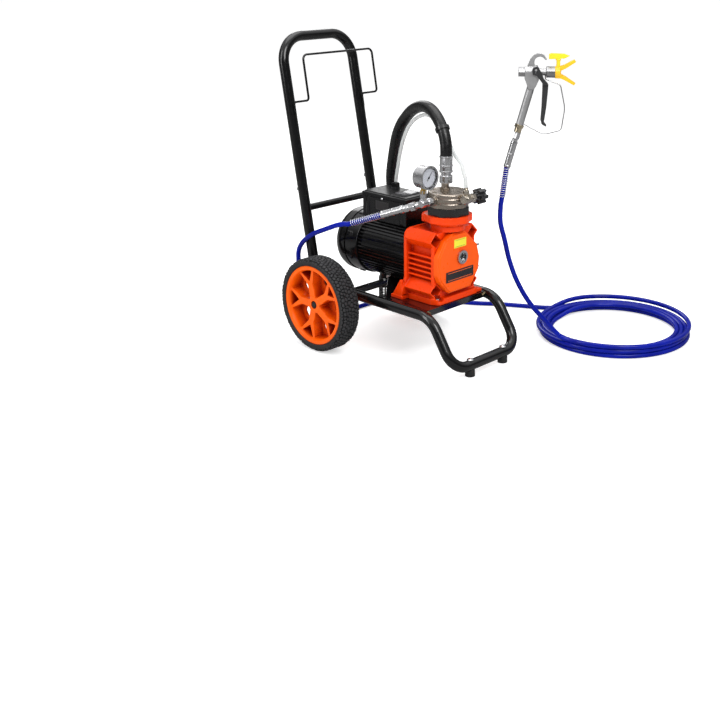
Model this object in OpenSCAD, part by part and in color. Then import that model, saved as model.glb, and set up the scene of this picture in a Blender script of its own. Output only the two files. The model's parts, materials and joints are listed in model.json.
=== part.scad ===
// Wheeled paint sprayer: a two-wheeled tube cart with motor, pump, suction and return hoses,
// a coiled spray hose lying on the floor and a spray gun hanging beside the cart.
// Parts are modelled with x forward, y to the left, z up, and their zero on the floor
// under the middle of the axle; every node is then shifted by `origin`.

/* [Cart] */
// Outside diameter of the frame tube, mm
tube_d = 28; // [26:0.5:30]
// Distance between the two side rails, centre to centre, mm
rail_gap = 250; // [246:1:254]
// Height of the side rails above the floor, mm
rail_z = 150; // [149:0.5:152]
// Height of the handle's top bar, mm
handle_z = 812; // [780:5:840]
// Backward lean of the uprights, degrees
lean = 11.1; // [9:0.1:13]

/* [Wheels] */
// Outside diameter of the tyre, mm
tyre_d = 254; // [250:1:258]
// Width of the tyre, mm
tyre_w = 61; // [56:1:61]
// Distance from the middle of the cart to a tyre's outer face, mm
track = 223; // [223:1:230]

/* [Motor and pump] */
// Number of cooling fins round the motor
fins = 54; // [48:1:58]
// Diameter over the motor's cooling fins, mm
motor_d = 166; // [163:0.5:166]
// Diameter of the paint head, mm
head_d = 106; // [102:1:107]

/* [Spray hose] */
// Outside diameter of the spray hose, mm
hose_d = 13; // [11:0.5:13]
// Number of points round the hose wall
hose_sides = 8; // [6:1:10]

/* [Output] */
// Node to draw

/* [Hidden] */
$fn = 48;

// puts zero on the floor under the middle of the whole object
origin = [-244.6, -223.8, 0];

fit = 0.05;         // clearance on the radius of a fitted hole
bolt_r = 4;
bolt_hole_r = 4.1;

steel = [0.75, 0.76, 0.78];
black = [0.05, 0.05, 0.055];
orange = [1, 0.33, 0.08];
blue = [0.07, 0.12, 0.65];
rubber = [0.08, 0.08, 0.085];
dark_grey = [0.2, 0.2, 0.21];

// ---------- vectors and curves ----------
function unit(v) = v / norm(v);
function angle(a, b) = acos(max(-1, min(1, a * b)));
// unit vector square to axis, on the side of v
function perp(axis, v) = unit(v - (v * axis) * axis);
// points followed by their mirror image in y, in reverse order
function mirrored(points) = concat(points, [for (i = [len(points) - 1:-1:0])
  [for (k = [0:len(points[i]) - 1]) k == 1 ? -points[i][k] : points[i][k]]]);

// Catmull-Rom spline between b and c, t from 0 to 1
function spline(a, b, c, d, t) = 0.5 * ((2 * b) + (c - a) * t
  + (2 * a - 5 * b + 4 * c - d) * t * t + (3 * b - a - 3 * c + d) * t * t * t);
// smooth curve through the points, with a number of steps to each span
function smooth(points, steps) = let (last = len(points) - 1) concat(
  [for (i = [0:last - 1]) for (j = [0:steps - 1]) spline(
    i == 0 ? 2 * points[0] - points[1] : points[i - 1],
    points[i],
    points[i + 1],
    i == last - 1 ? 2 * points[last] - points[last - 1] : points[i + 2],
    j / steps)],
  [points[last]]);

function tangent(points, i) =
  unit(points[min(i + 1, len(points) - 1)] - points[max(i - 1, 0)]);
// a vector square to the curve at each point, carried along without twist
function side_vectors(points) = let (first = tangent(points, 0)) [
  for (i = 0, v = perp(first, abs(first[2]) > 0.9 ? [1, 0, 0] : [0, 0, 1]); i < len(points);
    i = i + 1, v = perp(tangent(points, min(i, len(points) - 1)), v)) v];

// ---------- shared shapes ----------
module facing_x(at) translate(at) rotate([0, 90, 0]) children();
// side -1 faces right, 1 faces left
module facing_y(at, side = -1) translate(at) rotate([-90 * side, 0, 0]) children();
// [y, z] outline, thickened forward
module plate_x(at, thick) translate(at) rotate([90, 0, 90]) linear_extrude(thick) children();
// [x, z] outline, thickened to the right from y
module plate_y(y, thick) translate([0, y, 0]) rotate([90, 0, 0]) linear_extrude(thick) children();

module in_axes(x_axis, y_axis, z_axis, at)
  multmatrix([for (i = [0:2]) [x_axis[i], y_axis[i], z_axis[i], at[i]], [0, 0, 0, 1]]) children();

// round bar between two points
module bar(from, to, radius) {
  span = to - from;
  translate(from) rotate([0, acos(span[2] / norm(span)), atan2(span[1], span[0])])
    cylinder(h = norm(span), r = radius);
}

// angle turned at corner i, and the distance from that corner to its tangent points
function turn(corners, i) =
  angle(unit(corners[i] - corners[i - 1]), unit(corners[i + 1] - corners[i]));
function setback(corners, bends, i) = bends[i] * tan(turn(corners, i) / 2);

// bent tube: straight runs and circular bends, tied across each tangent point by a short core
module bent(corners, bends, radius) {
  last = len(corners) - 1;
  gap = 0.02;
  core_r = radius - 0.06;
  for (i = [0:last - 1]) {
    dir = unit(corners[i + 1] - corners[i]);
    start = corners[i] + dir * (i == 0 ? 0 : gap + setback(corners, bends, i));
    end = corners[i + 1] - dir * (i == last - 1 ? 0 : gap + setback(corners, bends, i + 1));
    bar(start, end, radius);
    if (i > 0) bar(start - 0.8 * dir, start + dir, core_r);
    if (i < last - 1) bar(end - dir, end + 0.8 * dir, core_r);
  }
  for (i = [1:last - 1]) {
    dir = unit(corners[i] - corners[i - 1]);
    inward = perp(dir, unit(corners[i + 1] - corners[i]));
    centre = corners[i] - dir * setback(corners, bends, i) + inward * bends[i];
    in_axes(-inward, dir, cross(dir, inward), centre)
      rotate_extrude(angle = turn(corners, i)) translate([bends[i], 0]) circle(radius);
  }
}

// round wall swept along the points
module sweep(points, radius, sides) {
  across = side_vectors(points);
  last = len(points) - 1;
  wall = [for (i = [0:last]) let (u = across[i], v = cross(tangent(points, i), u))
    for (k = [0:sides - 1])
      points[i] + radius * (cos(360 * k / sides) * u + sin(360 * k / sides) * v)];
  faces = [for (i = [0:last - 1]) for (k = [0:sides - 1])
    let (a = i * sides + k, b = i * sides + (k + 1) % sides)
      each [[a, a + sides, b], [b, a + sides, b + sides]]];
  caps = [[for (k = [0:sides - 1]) k], [for (k = [sides - 1:-1:0]) last * sides + k]];
  polyhedron(points = wall, faces = concat(faces, caps), convexity = 20);
}

// ---------- cart ----------
tube_r = tube_d / 2;
bore_r = tube_r - 2.5;
rail_y = rail_gap / 2;
tyre_r = tyre_d / 2;
axle_z = tyre_r;
axle_r = 7.5;
axle_end = 214;     // half the length of the axle
pin_inset = 3;      // from the axle's end to its split pin
upright_x = -88;    // where the uprights meet the rails
sleeve_z = 388;     // where the handle takes over from the lower tube
bar_z = 354;        // bar between the uprights
knee_x = 343;       // front end of the level rails
front_x = 422;      // front bar
front_z = 28;
foot_y = 64;
sleeve_bolt = 262;  // distance up the handle plane

function upright_point(y, z) = [upright_x - tan(lean) * (z - rail_z), y, z];
// point set out from the handle plane: `up` along the tube, `front` in front of it
function handle_point(up, front, y) = [
  upright_x - up * sin(lean) + front * cos(lean), y, rail_z + up * cos(lean) + front * sin(lean)];

function lower_path(top_z) = mirrored([upright_point(-rail_y, top_z),
  [upright_x, -rail_y, rail_z], [knee_x, -rail_y, rail_z], [front_x, -rail_y, front_z]]);
lower_bends = [0, 75, 70, 50, 50, 70, 75, 0];

module upright_bar(side, low, high, radius)
  bar(upright_point(side * rail_y, low), upright_point(side * rail_y, high), radius);

module at_feet(z) for (side = [-1, 1]) translate([front_x, side * foot_y, z]) children();

// local z points backward, square to the handle plane
module at_sleeve_bolts() for (side = [-1, 1])
  translate(handle_point(sleeve_bolt, 0, side * rail_y)) rotate([0, -90 - lean, 0]) children();
module sleeve_bolt_holes()
  at_sleeve_bolts() translate([0, 0, -8]) cylinder(h = 30, r = bolt_hole_r);

module base_frame() color(black) difference() {
  union() {
    bent(lower_path(sleeve_z), lower_bends, tube_r);
    for (side = [-1, 1]) {
      // swaged necks that enter the handle tube
      upright_bar(side, sleeve_z - 1, sleeve_z + 42, bore_r - 0.3);
      // axle lugs under the rails
      translate([-15, side * rail_y - 4, axle_z - 15]) cube([30, 8, rail_z - axle_z + 8]);
    }
    bar(upright_point(-rail_y, bar_z), upright_point(rail_y, bar_z), 9.5);
    // rear angle between the rails
    translate([38, -rail_y, rail_z - 7]) cube([3, rail_gap, 15]);
    translate([38, -rail_y, rail_z + 5]) cube([16, rail_gap, 3]);
  }
  bent(lower_path(sleeve_z - 9), lower_bends, bore_r);
  for (side = [-1, 1]) {
    upright_bar(side, sleeve_z - 20, sleeve_z + 50, bore_r - 3);
    facing_y([0, side * (rail_y - 5), axle_z], side) cylinder(h = 12, r = axle_r + fit);
  }
  at_feet(0) cylinder(h = 60, r = 4.2);
  sleeve_bolt_holes();
}

deck_back = 165;
deck_front = 317;
deck_thick = 3;
deck_z = rail_z + 6;
deck_edge = rail_y - tube_r - 0.3;   // half the deck's width
// bolts through the deck into the pump's base, [x, y]
deck_bolts = [[297, -54], [292, 98], [187, -75], [188, 90]];

module deck_plate() color(black) difference() {
  union() {
    // flat deck with a turned-down front lip
    translate([deck_back, -deck_edge, deck_z])
      cube([deck_front - deck_back, 2 * deck_edge, deck_thick]);
    translate([deck_front - deck_thick, -deck_edge, deck_z - 13])
      cube([deck_thick, 2 * deck_edge, 16]);
    // ramp under the motor
    translate([deck_back, 0, deck_z]) rotate([0, 30, 0]) linear_extrude(deck_thick)
      polygon([[1, -deck_edge], [1, deck_edge], [-64, pump_y + 52], [-64, pump_y - 52]]);
  }
  // saddle cut to the motor's round
  on_shaft() cylinder(h = 220, r = motor_r + 0.4, $fn = 72);
  for (bolt = deck_bolts) translate([bolt[0], bolt[1], rail_z]) cylinder(h = 20, r = bolt_hole_r);
}

module axle() color(steel) facing_y([0, axle_end, axle_z]) difference() {
  cylinder(h = 2 * axle_end, r = axle_r);
  for (z = [pin_inset, 2 * axle_end - pin_inset])
    facing_y([0, -20, z], 1) cylinder(h = 40, r = 1.6);
}

module axle_clips() color(steel) for (side = [-1, 1]) {
  // washers, [distance from the middle, radius]
  for (washer = [[155.4, 15], [206.4, 9.4]])
    facing_y([0, side * washer[0], axle_z], side) difference() {
      cylinder(h = 2, r = washer[1]);
      translate([0, 0, -1]) cylinder(h = 4, r = axle_r + 0.02);
    }
  // split pin
  translate([0, side * (axle_end - pin_inset), axle_z - 9]) cylinder(h = 18, r = 1.5);
}

wheel_y = track - tyre_w / 2;   // middle plane of a wheel
hub_y = wheel_y - 158;          // inner end of the hub, from that plane
// half outlines, [radius, distance from the middle plane]
rim_half = [[102, 23], [106.6, 24], [106.6, 28], [97, 28], [93, 22]];
tyre_half = [[102.1, 22.8], [106.8, 23.8], [106.8, tyre_w / 2 - 1], [110, tyre_w / 2],
  [119, tyre_w / 2], [124.5, tyre_w / 2 - 3], [tyre_r, tyre_w / 2 - 9]];

// wheel about its own middle plane, axis along y, outer side towards -y
module rim() color(orange) difference() {
  union() {
    rotate([90, 0, 0]) rotate_extrude($fn = 96) polygon(mirrored(rim_half));
    // web
    facing_y([0, 13, 0]) cylinder(h = 5, r = 94, $fn = 96);
    // hub barrel
    facing_y([0, hub_y, 0]) cylinder(h = 59, r = 21);
    // five forked spokes
    for (a = [36:72:359]) rotate([0, a, 0]) {
      translate([15, -21, -9]) cube([43, 42, 18]);
      for (side = [-1, 1])
        translate([52, 0, 0]) rotate([0, side * 33, 0]) translate([-5, -19, -5]) cube([51, 38, 10]);
    }
  }
  facing_y([0, 60, 0]) cylinder(h = 120, r = axle_r + 0.06);
  facing_y([0, hub_y - 48, 0]) cylinder(h = 30, r = 10);
  // windows through the web, between the spokes
  for (a = [0:72:359]) rotate([0, a, 0]) facing_y([65, 20, 0]) cylinder(h = 40, r = 15);
}
module tyre() color(rubber)
  rotate([90, 0, 0]) rotate_extrude($fn = 120) polygon(mirrored(tyre_half));

module rim_right() translate([0, -wheel_y, axle_z]) rim();
module tyre_right() translate([0, -wheel_y, axle_z]) tyre();
module rim_left() translate([0, wheel_y, axle_z]) rotate([0, 0, 180]) rim();
module tyre_left() translate([0, wheel_y, axle_z]) tyre();

handle_path = mirrored([upright_point(-rail_y, sleeve_z + 0.5), upright_point(-rail_y, handle_z)]);
module handle_frame() color(black) difference() {
  bent(handle_path, [0, 72, 72, 0], tube_r);
  bent(handle_path, [0, 72, 72, 0], bore_r);
  sleeve_bolt_holes();
}

// wire loop, [distance up the handle plane, distance in front of it]
hook_half = [[462, tube_r + 3.2], [497, tube_r + 3.2], [497, 80], [618, 82]];
module hose_hook() color(black)
  bent(mirrored([for (p = hook_half) handle_point(p[0], p[1], -rail_y)]),
       [0, 7, 9, 14, 14, 9, 7, 0], 3);

module frame_bolts() color(steel) {
  // domed bolts through the front bar into the feet
  at_feet(front_z + tube_r) {
    intersection() {
      translate([0, 0, -8]) sphere(13);
      translate([0, 0, 0.3]) cylinder(h = 8, r = 9);
    }
    translate([0, 0, -tube_d - 4]) cylinder(h = tube_d + 6, r = bolt_r);
  }
  // bolts that pin the handle to the lower tube, heads at the back
  at_sleeve_bolts() {
    translate([0, 0, tube_r + 0.3]) cylinder(h = 5, r = 6.5, $fn = 6);
    translate([0, 0, -6]) cylinder(h = tube_r + 7, r = bolt_r);
  }
}

module rubber_feet() color(rubber) at_feet(0) difference() {
  cylinder(h = 20, r1 = 13, r2 = 12.5);
  translate([0, 0, 5]) cylinder(h = 20, r = bolt_hole_r);
  facing_y([0, 30, front_z]) cylinder(h = 60, r = tube_r + fit);
}

// ---------- motor ----------
pump_y = 5;                   // centre line of the motor and pump
motor_z = 263;
motor_r = motor_d / 2;
fin_depth = 6.5;
stator_bore_r = motor_r - 10; // inside of the motor housing
bell_r = motor_r + 4;
shaft_r = 8;

// local z points forward along the motor shaft
module on_shaft() facing_x([0, pump_y, motor_z]) children();

// one fin and the gap after it, [fraction of the fin pitch, depth below the fin tips]
fin_steps = [[-0.17, 0], [0.17, 0], [0.24, fin_depth], [0.76, fin_depth]];
module motor_housing() color(black) on_shaft() difference() {
  translate([0, 0, 24]) linear_extrude(175.8) polygon([
    for (i = [0:fins - 1]) for (p = fin_steps) let (a = (i + p[0]) * 360 / fins)
      (motor_r - p[1]) * [cos(a), sin(a)]]);
  translate([0, 0, 20]) cylinder(h = 190, r = stator_bore_r, $fn = 72);
}

module rear_bell() color(black) on_shaft() difference() {
  union() {
    translate([0, 0, -22]) cylinder(h = 45.8, r = bell_r, $fn = 72);
    for (a = [22.5:45:359]) rotate([0, 0, a]) translate([motor_r - 3, -5, -14]) cube([10.5, 10, 15]);
  }
  translate([0, 0, -14]) cylinder(h = 45, r = motor_r - 8, $fn = 72);
  translate([0, 0, -30]) cylinder(h = 30, r = shaft_r + fit);
}

// thin domed shell, [radius, z]: up the outside, back down the inside
cowl_outline = [[0, -77], [50, -77], [64, -73], [75, -66], [83.5, -56], [88, -44], [89, -34],
  [89, -22.5], [87.2, -22.5], [87.2, -34], [86.2, -43.4], [82, -54.6], [73.8, -64],
  [63.3, -70.6], [49.5, -74.6], [0, -74.6]];
slot_circle_r = 47;
module fan_cowl() color(black) on_shaft() difference() {
  rotate_extrude($fn = 72) polygon(cowl_outline);
  // air slots in the end
  for (y = [-36:8:36]) {
    half = sqrt(pow(slot_circle_r, 2) - y * y) - 2;
    translate([-half, y - 2, -83]) cube([2 * half, 4, 12]);
  }
}

module stator() color([0.45, 0.3, 0.2]) on_shaft() translate([0, 0, 58]) difference() {
  cylinder(h = 118, r = stator_bore_r - 0.1, $fn = 72);
  translate([0, 0, -1]) cylinder(h = 120, r = 45);
}

module rotor() color(steel) on_shaft() {
  translate([0, 0, 70]) cylinder(h = 94, r = 44.4);
  translate([0, 0, -66]) cylinder(h = 300, r = shaft_r);
  // eccentric that lifts the piston
  translate([-4, 0, 266]) cylinder(h = 28, r = 15);
  translate([0, 0, 230]) cylinder(h = 38, r = shaft_r);
}

module cooling_fan() color([0.12, 0.12, 0.13]) on_shaft() difference() {
  union() {
    translate([0, 0, -62]) cylinder(h = 24, r = 16);
    translate([0, 0, -60]) cylinder(h = 3, r = 66);
    for (a = [0:45:359]) rotate([0, 0, a]) translate([12, -1.5, -58]) cube([52, 3, 26]);
  }
  translate([0, 0, -70]) cylinder(h = 40, r = shaft_r + 0.01);
}

box_back = 4;     // rear face of the terminal box and its lid
box_top = 400;
lid_top = 412.9;
module terminal_box() color(black) difference() {
  union() {
    translate([box_back, -36, 300]) cube([164, 90, box_top - 300]);
    // straps over both sides
    for (x = [20, 146]) translate([x, -37.5, 340]) cube([10, 93, box_top - 340]);
  }
  translate([8, -32, 353]) cube([156, 82, 60]);
  on_shaft() {
    cylinder(h = 220, r = motor_r + 0.1, $fn = 72);
    translate([0, 0, -5]) cylinder(h = 28.9, r = bell_r + 0.1, $fn = 72);
  }
}

module terminal_lid() color(black) difference() {
  union() {
    translate([box_back, -40, box_top + 0.1]) cube([168, 98, 9.9]);
    translate([10, -34, 409.9]) cube([156, 86, 3.1]);
    // switch frame and cable entry
    translate([104, -24, lid_top]) cube([46, 66, 2.5]);
    translate([44, 34, lid_top]) cube([16, 16, 14]);
  }
  translate([12, -32, 399]) cube([152, 82, 9]);
  translate([109, -19, 406]) cube([36, 56, 12]);
}

// rocker outline, [y, z] about its pivot
rocker = [[-26, 1], [-4, -2.5], [4, -2.5], [26, 3], [26.5, 6.5], [0, 4.5], [-26.5, 7.5]];
module power_switch() color([0.45, 0.46, 0.48]) translate([127, pump_y + 4, 411]) difference() {
  plate_x([-17, 0, 0], 34) polygon(rocker);
  facing_x([-30, 0, 0]) cylinder(h = 60, r = 1.55);
}

// ---------- pump ----------
head_x = 280;       // vertical axis of the paint head
head_r = head_d / 2;
housing_x = 200;    // rear face of the pump housing
base_z = 159.3;     // underside of its base
ear_top = base_z + 9;
piston_r = 20;
sight_y = 15;       // centre of the sight glass
sight_z = 276;
sight_r = 15;
lens_r = 12;
screw_r = 3;        // head screws
screw_circle_r = 41;

module at_head(z = 0) translate([head_x, pump_y, z]) children();
module at_head_screws(z)
  at_head() for (a = [15:60:359]) rotate([0, 0, a]) translate([screw_circle_r, 0, z]) children();
// square sockets turned on edge, one near each corner of the housing
module at_sockets(x)
  for (y = [-60, 79], z = [194, 327]) translate([x, y, z]) rotate([45, 0, 0]) children();

// outlines, [y from the pump's centre line, z]
flange_outline = [[-97, 172], [86, 172], [90, 186], [90, 327], [87, 337], [81, 344], [70, 348],
  [-62, 348], [-72, 345], [-79, 338], [-82, 327], [-82, 216], [-97, 184]];
body_outline = [[-59, 173], [68, 173], [68, 318], [56, 345], [-48, 345], [-59, 318]];
front_rim_outline = [[-74, 174], [82, 174], [82, 330], [66, 347], [-58, 347], [-74, 330]];
// [x from the rear face, y]
base_outline = [[0, -73], [92, -73], [108, -66], [114, -60], [114, 82], [108, 88], [0, 88]];

module pump_housing() color(orange) difference() {
  union() {
    // rear flange, body and square front rim
    plate_x([housing_x, pump_y, 0], 9) polygon(flange_outline);
    plate_x([206, pump_y, 0], 90) polygon(body_outline);
    plate_x([289, pump_y, 0], 11) polygon(front_rim_outline);
    at_sockets(207) translate([0, -16.5, -16.5]) cube([91, 33, 33]);
    // base and its ears
    translate([housing_x, 0, base_z]) linear_extrude(16) polygon(base_outline);
    translate([276, 80, base_z]) cube([34, 27, 9]);
    for (side = [-1, 1]) translate([168, pump_y + side * 85 - 13, base_z]) cube([42, 26, 9]);
    // gussets behind the flange, [left face, top]
    for (gusset = [[-85, 212], [100, 184]]) plate_y(gusset[0], 7)
      polygon([[168, 160], [206, 160], [206, gusset[1]], [housing_x, gusset[1]]]);
    // neck under the collar, flattened behind the cover
    difference() {
      at_head(330) cylinder(h = 31.9, r = 45);
      translate([300, -60, 320]) cube([40, 130, 27]);
    }
    // side ribs
    for (z = [228, 242, 255, 269, 283]) {
      translate([206.5, pump_y - 74, z - 2.5]) cube([84, 17, 5]);
      translate([206.5, pump_y + 66, z - 2.5]) cube([84, 16, 5]);
    }
  }
  // crank chamber and piston guide
  translate([214, pump_y - 44, 222]) cube([100, 88, 104]);
  at_head(320) cylinder(h = 60, r = piston_r + fit);
  on_shaft() translate([0, 0, 190]) {
    cylinder(h = 40, r = 9);
    cylinder(h = 16, r = 30);
  }
  at_sockets(262) translate([0, -12.5, -12.5]) cube([60, 25, 25]);
  // deck bolt holes and room for their heads
  for (bolt = deck_bolts) {
    translate([bolt[0], bolt[1], 150]) cylinder(h = 19.2, r = bolt_hole_r);
    translate([bolt[0], bolt[1], ear_top]) cylinder(h = 13.5, r = 9.5);
  }
  translate([deck_bolts[0][0], deck_bolts[0][1] - 9.2, ear_top]) cube([30, 18.4, 13.5]);
}

// [y, z]
cover_outline = [[-71, 240], [-71, 288], [-46, 326], [-19, 343], [30, 343], [79, 297],
  [89, 262], [85, 228], [65, 200], [53, 186], [-30, 186], [-62, 220]];
cover_middle = [8, 265];
module front_cover() color(orange) difference() {
  union() {
    plate_x([300.1, 0, 0], 16) polygon(cover_outline);
    // raised face, a little smaller
    plate_x([316, cover_middle[0], cover_middle[1]], 4)
      polygon([for (p = cover_outline) 0.95 * (p - cover_middle)]);
    // spigot that centres the cover in the chamber
    translate([296.1, pump_y - 42, 226]) cube([6, 84, 50]);
  }
  facing_x([290, sight_y, sight_z]) cylinder(h = 40, r = sight_r + fit);
  translate([290, pump_y - 38, 231]) cube([10, 76, 40]);
}
module sight_bezel() color(steel) facing_x([306, sight_y, sight_z]) difference() {
  union() {
    cylinder(h = 15, r = sight_r);
    translate([0, 0, 14.1]) cylinder(h = 5, r = sight_r + 3);
  }
  translate([0, 0, -1]) cylinder(h = 30, r = 9);
  translate([0, 0, 10]) cylinder(h = 20, r = lens_r + fit);
}
module sight_lens() color([0.8, 0.85, 0.9])
  facing_x([316.2, sight_y, sight_z]) cylinder(h = 7, r = lens_r);

module label_plates() {
  color([0.03, 0.03, 0.03]) translate([320.1, -45, 217]) cube([0.8, 105, 28]);
  color([0.95, 0.85, 0.1]) translate([320.1, -15, 304]) cube([0.6, 46, 23]);
}

module pump_bolts() color(steel) {
  for (bolt = deck_bolts) translate([bolt[0], bolt[1], ear_top + 0.2]) {
    cylinder(h = 6, r = 7.5, $fn = 6);
    translate([0, 0, -16]) cylinder(h = 16, r = bolt_r);
  }
  // socket screws sunk in the paint head
  at_head_screws(385) cylinder(h = 55.5, r = screw_r);
  at_head_screws(439.3) difference() {
    cylinder(h = 4.5, r = 4.6);
    translate([0, 0, 1.5]) cylinder(h = 4, r = 2.4, $fn = 6);
  }
  // side screws of the cover
  for (z = [232, 292]) facing_y([308, 86, z], 1) cylinder(h = 8, r = 3);
}

// [x from the housing's rear face, y from the pump's centre line]
collar_block_half = [[0, -10], [8, -22], [20, -36], [52, -36]];
module pump_collar() color(orange) difference() {
  union() {
    at_head(362) rotate([0, 0, 22.5]) cylinder(h = 10, r1 = 49, r2 = 58, $fn = 8);
    // wavy flange under the spacer
    at_head(370) linear_extrude(18) polygon([for (i = [0:63]) let (a = i * 360 / 64)
      (61 + 2 * cos(8 * a)) * [cos(a), sin(a)]]);
    // block running back from the collar
    translate([housing_x, pump_y, 362.4]) linear_extrude(17) polygon(mirrored(collar_block_half));
  }
  at_head(350) cylinder(h = 50, r = piston_r + fit);
  at_head_screws(383) cylinder(h = 20, r = screw_r + fit);
}
module spacer_ring() color(black) difference() {
  at_head(388.1) rotate([0, 0, 22.5]) cylinder(h = 20.8, r = 57, $fn = 8);
  at_head(380) cylinder(h = 26.1, r = 33);
  at_head(398) cylinder(h = 20, r = 36.1);
  at_head_screws(380) cylinder(h = 40, r = screw_r + fit);
}
module diaphragm() color(rubber) at_head(398.1) difference() {
  cylinder(h = 3, r = 36);
  translate([0, 0, -1]) cylinder(h = 5, r = 6 + fit);
}
// stacked cylinders, [bottom, height, radius]
piston_steps = [[282.6, 8, 18], [284, 46, 12], [329, 62, piston_r], [390, 7.9, 26], [397, 6, 6]];
module piston() color(steel)
  for (part = piston_steps) at_head(part[0]) cylinder(h = part[1], r = part[2]);

spring_r = 16.2;
spring_turns = 6;
spring_end = 360 * spring_turns;
module piston_spring() color(steel) sweep([for (a = [0:20:spring_end])
  [head_x + spring_r * cos(a), pump_y + spring_r * sin(a), 292.4 + 34.6 * a / spring_end]], 1.6, 6);

// ---------- paint head and fittings ----------
port_z = 429;       // outlet port
return_z = 434;     // port to the prime valve
inlet_x = 270;
inlet_y = 4;
adapter_r = 12;
nipple_r = 8;

// [radius, z] with two shallow grooves
head_outline = [[0, 0], [head_r, 0], [head_r, 12], [head_r - 1.2, 13], [head_r - 1.2, 15],
  [head_r, 16], [head_r, 25], [head_r - 1.2, 26], [head_r - 1.2, 28], [head_r, 29],
  [head_r, 35], [head_r - 3, 38], [0, 38]];
module paint_head() color(steel) difference() {
  union() {
    at_head(409) rotate_extrude($fn = 72) polygon(head_outline);
    // outlet boss on the right
    facing_y([head_x, pump_y - head_r + 4, port_z]) cylinder(h = 10, r = 12);
  }
  // paint chamber over the diaphragm and its ports
  at_head(400) cylinder(h = 14, r1 = 34, r2 = 26);
  translate([inlet_x, inlet_y, 410]) cylinder(h = 40, r = 6);
  translate([inlet_x, inlet_y, 424]) cylinder(h = 40, r = adapter_r + fit);
  facing_y([head_x, pump_y, port_z]) cylinder(h = 80, r = 4);
  facing_y([head_x, pump_y - head_r + 14, port_z]) cylinder(h = 40, r = nipple_r + fit);
  facing_x([head_x, pump_y, return_z]) cylinder(h = 80, r = 4);
  at_head_screws(405) cylinder(h = 60, r = screw_r + fit);
  at_head_screws(439.2) cylinder(h = 20, r = 5.2);
}

module inlet_adapter() color(steel) translate([inlet_x, inlet_y, 0]) difference() {
  union() {
    translate([0, 0, 428]) cylinder(h = 20, r = adapter_r);
    translate([0, 0, 447.6]) cylinder(h = 7, r = 13.5, $fn = 6);
    translate([0, 0, 454]) cylinder(h = 22, r = 10);
  }
  translate([0, 0, 420]) cylinder(h = 70, r = 4.5);
  translate([0, 0, 424]) cylinder(h = 16, r = 7);
}
module check_balls() color([0.85, 0.86, 0.88]) {
  translate([inlet_x, inlet_y, 433]) sphere(5.6);
  translate([head_x, -53, port_z]) sphere(3.6);
}

tee = [head_x, -88, port_z];
hose_dir = unit([-97, -30, -37]);   // direction in which the spray hose leaves the tee
module outlet_tee() color(steel) difference() {
  union() {
    // nipple into the head, its nut, tee block, gauge stem
    facing_y([head_x, -37.9, port_z]) cylinder(h = 45, r = nipple_r);
    facing_y([head_x, -60, port_z]) cylinder(h = 12, r = 11, $fn = 6);
    translate(tee - [11, 11, 11]) cube([22, 22, 22]);
    translate(tee) cylinder(h = 26, r = 8.5);
    // outlet stub towards the hose
    bar(tee, tee + 22 * hose_dir, 8.5);
  }
  facing_y([head_x, -30, port_z]) cylinder(h = 62, r = 4);
  translate(tee) cylinder(h = 40, r = 3);
  bar(tee, tee + 30 * hose_dir, 3.5);
}

gauge = [304, tee[1], 498];   // middle of the gauge's front face
module gauge_case() {
  color(steel) translate(gauge) rotate([0, -90, 0]) difference() {
    union() {
      cylinder(h = 34, r = 28.5, $fn = 64);
      cylinder(h = 7, r = 31, $fn = 64);
    }
    translate([0, 0, -1]) cylinder(h = 8.5, r = 27, $fn = 64);
    translate([0, 0, 3]) cylinder(h = 28, r = 25, $fn = 64);
  }
  // stem
  color([0.72, 0.55, 0.25]) translate([tee[0], tee[1], 455.2]) difference() {
    union() {
      cylinder(h = 8, r = 9, $fn = 6);
      cylinder(h = 15, r = 6);
    }
    translate([0, 0, -1]) cylinder(h = 10, r = 2);
  }
}
module gauge_dial() color([0.85, 0.86, 0.95]) facing_x(gauge - [7.4, 0, 0]) difference() {
  cylinder(h = 1, r = 26.5, $fn = 64);
  translate([0, 0, -1]) cylinder(h = 3, r = 1.6);
}
module gauge_needle() color(black)
  translate(gauge - [5.6, 0, 0]) rotate([90, 0, 90]) rotate([0, 0, 50]) {
    translate([0, 0, -5]) cylinder(h = 6, r = 1.5);
    linear_extrude(0.8) polygon(mirrored([[-9, -1.6], [0, -1.2], [20, -0.4]]));
    cylinder(h = 1.4, r = 3);
  }
module gauge_glass() color([0.85, 0.9, 0.95])
  facing_x(gauge - [3, 0, 0]) cylinder(h = 2, r = 26.9, $fn = 64);

// ---------- suction and return hoses ----------
coupling_x = 272;
coupling_y = 5;
strainer_x = -42;
strainer_y = 91;
barb_x = 343.5;
barb_y = 2;

module suction_coupling() color(steel) translate([coupling_x, coupling_y, 0]) difference() {
  union() {
    translate([0, 0, 467]) cylinder(h = 20, r = 17.5, $fn = 8);
    translate([0, 0, 486]) cylinder(h = 8, r = 13);
    translate([0, 0, 493.5]) cylinder(h = 44, r = 17.6);
  }
  translate([inlet_x - coupling_x, inlet_y - coupling_y, 460]) cylinder(h = 17, r = 10 + fit);
  translate([0, 0, 475]) cylinder(h = 80, r = 6);
  translate([0, 0, 500]) cylinder(h = 80, r = 15.9);
}

// from the coupling over the motor and down to the strainer, [x, y, z]
suction_path = smooth([[coupling_x, coupling_y, 502], [coupling_x, coupling_y, 545],
  [268, 7, 572], [256, 10, 600], [228, 19, 628], [194, 29, 646], [153, 41, 648],
  [108, 54, 633], [72, 65, 609], [42, 73, 580], [20, 79, 545], [4, 84, 500], [-11, 89, 442],
  [-16, 94, 400], [-19, 107, 345], [-22, 112.5, 300], [-26, 113, 262], [-31, 110, 222],
  [-38, 97, 175], [strainer_x, 91.5, 142], [strainer_x, strainer_y, 106]], 2);
module suction_hose() color(rubber) sweep(suction_path, 15.5, 12);

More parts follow.
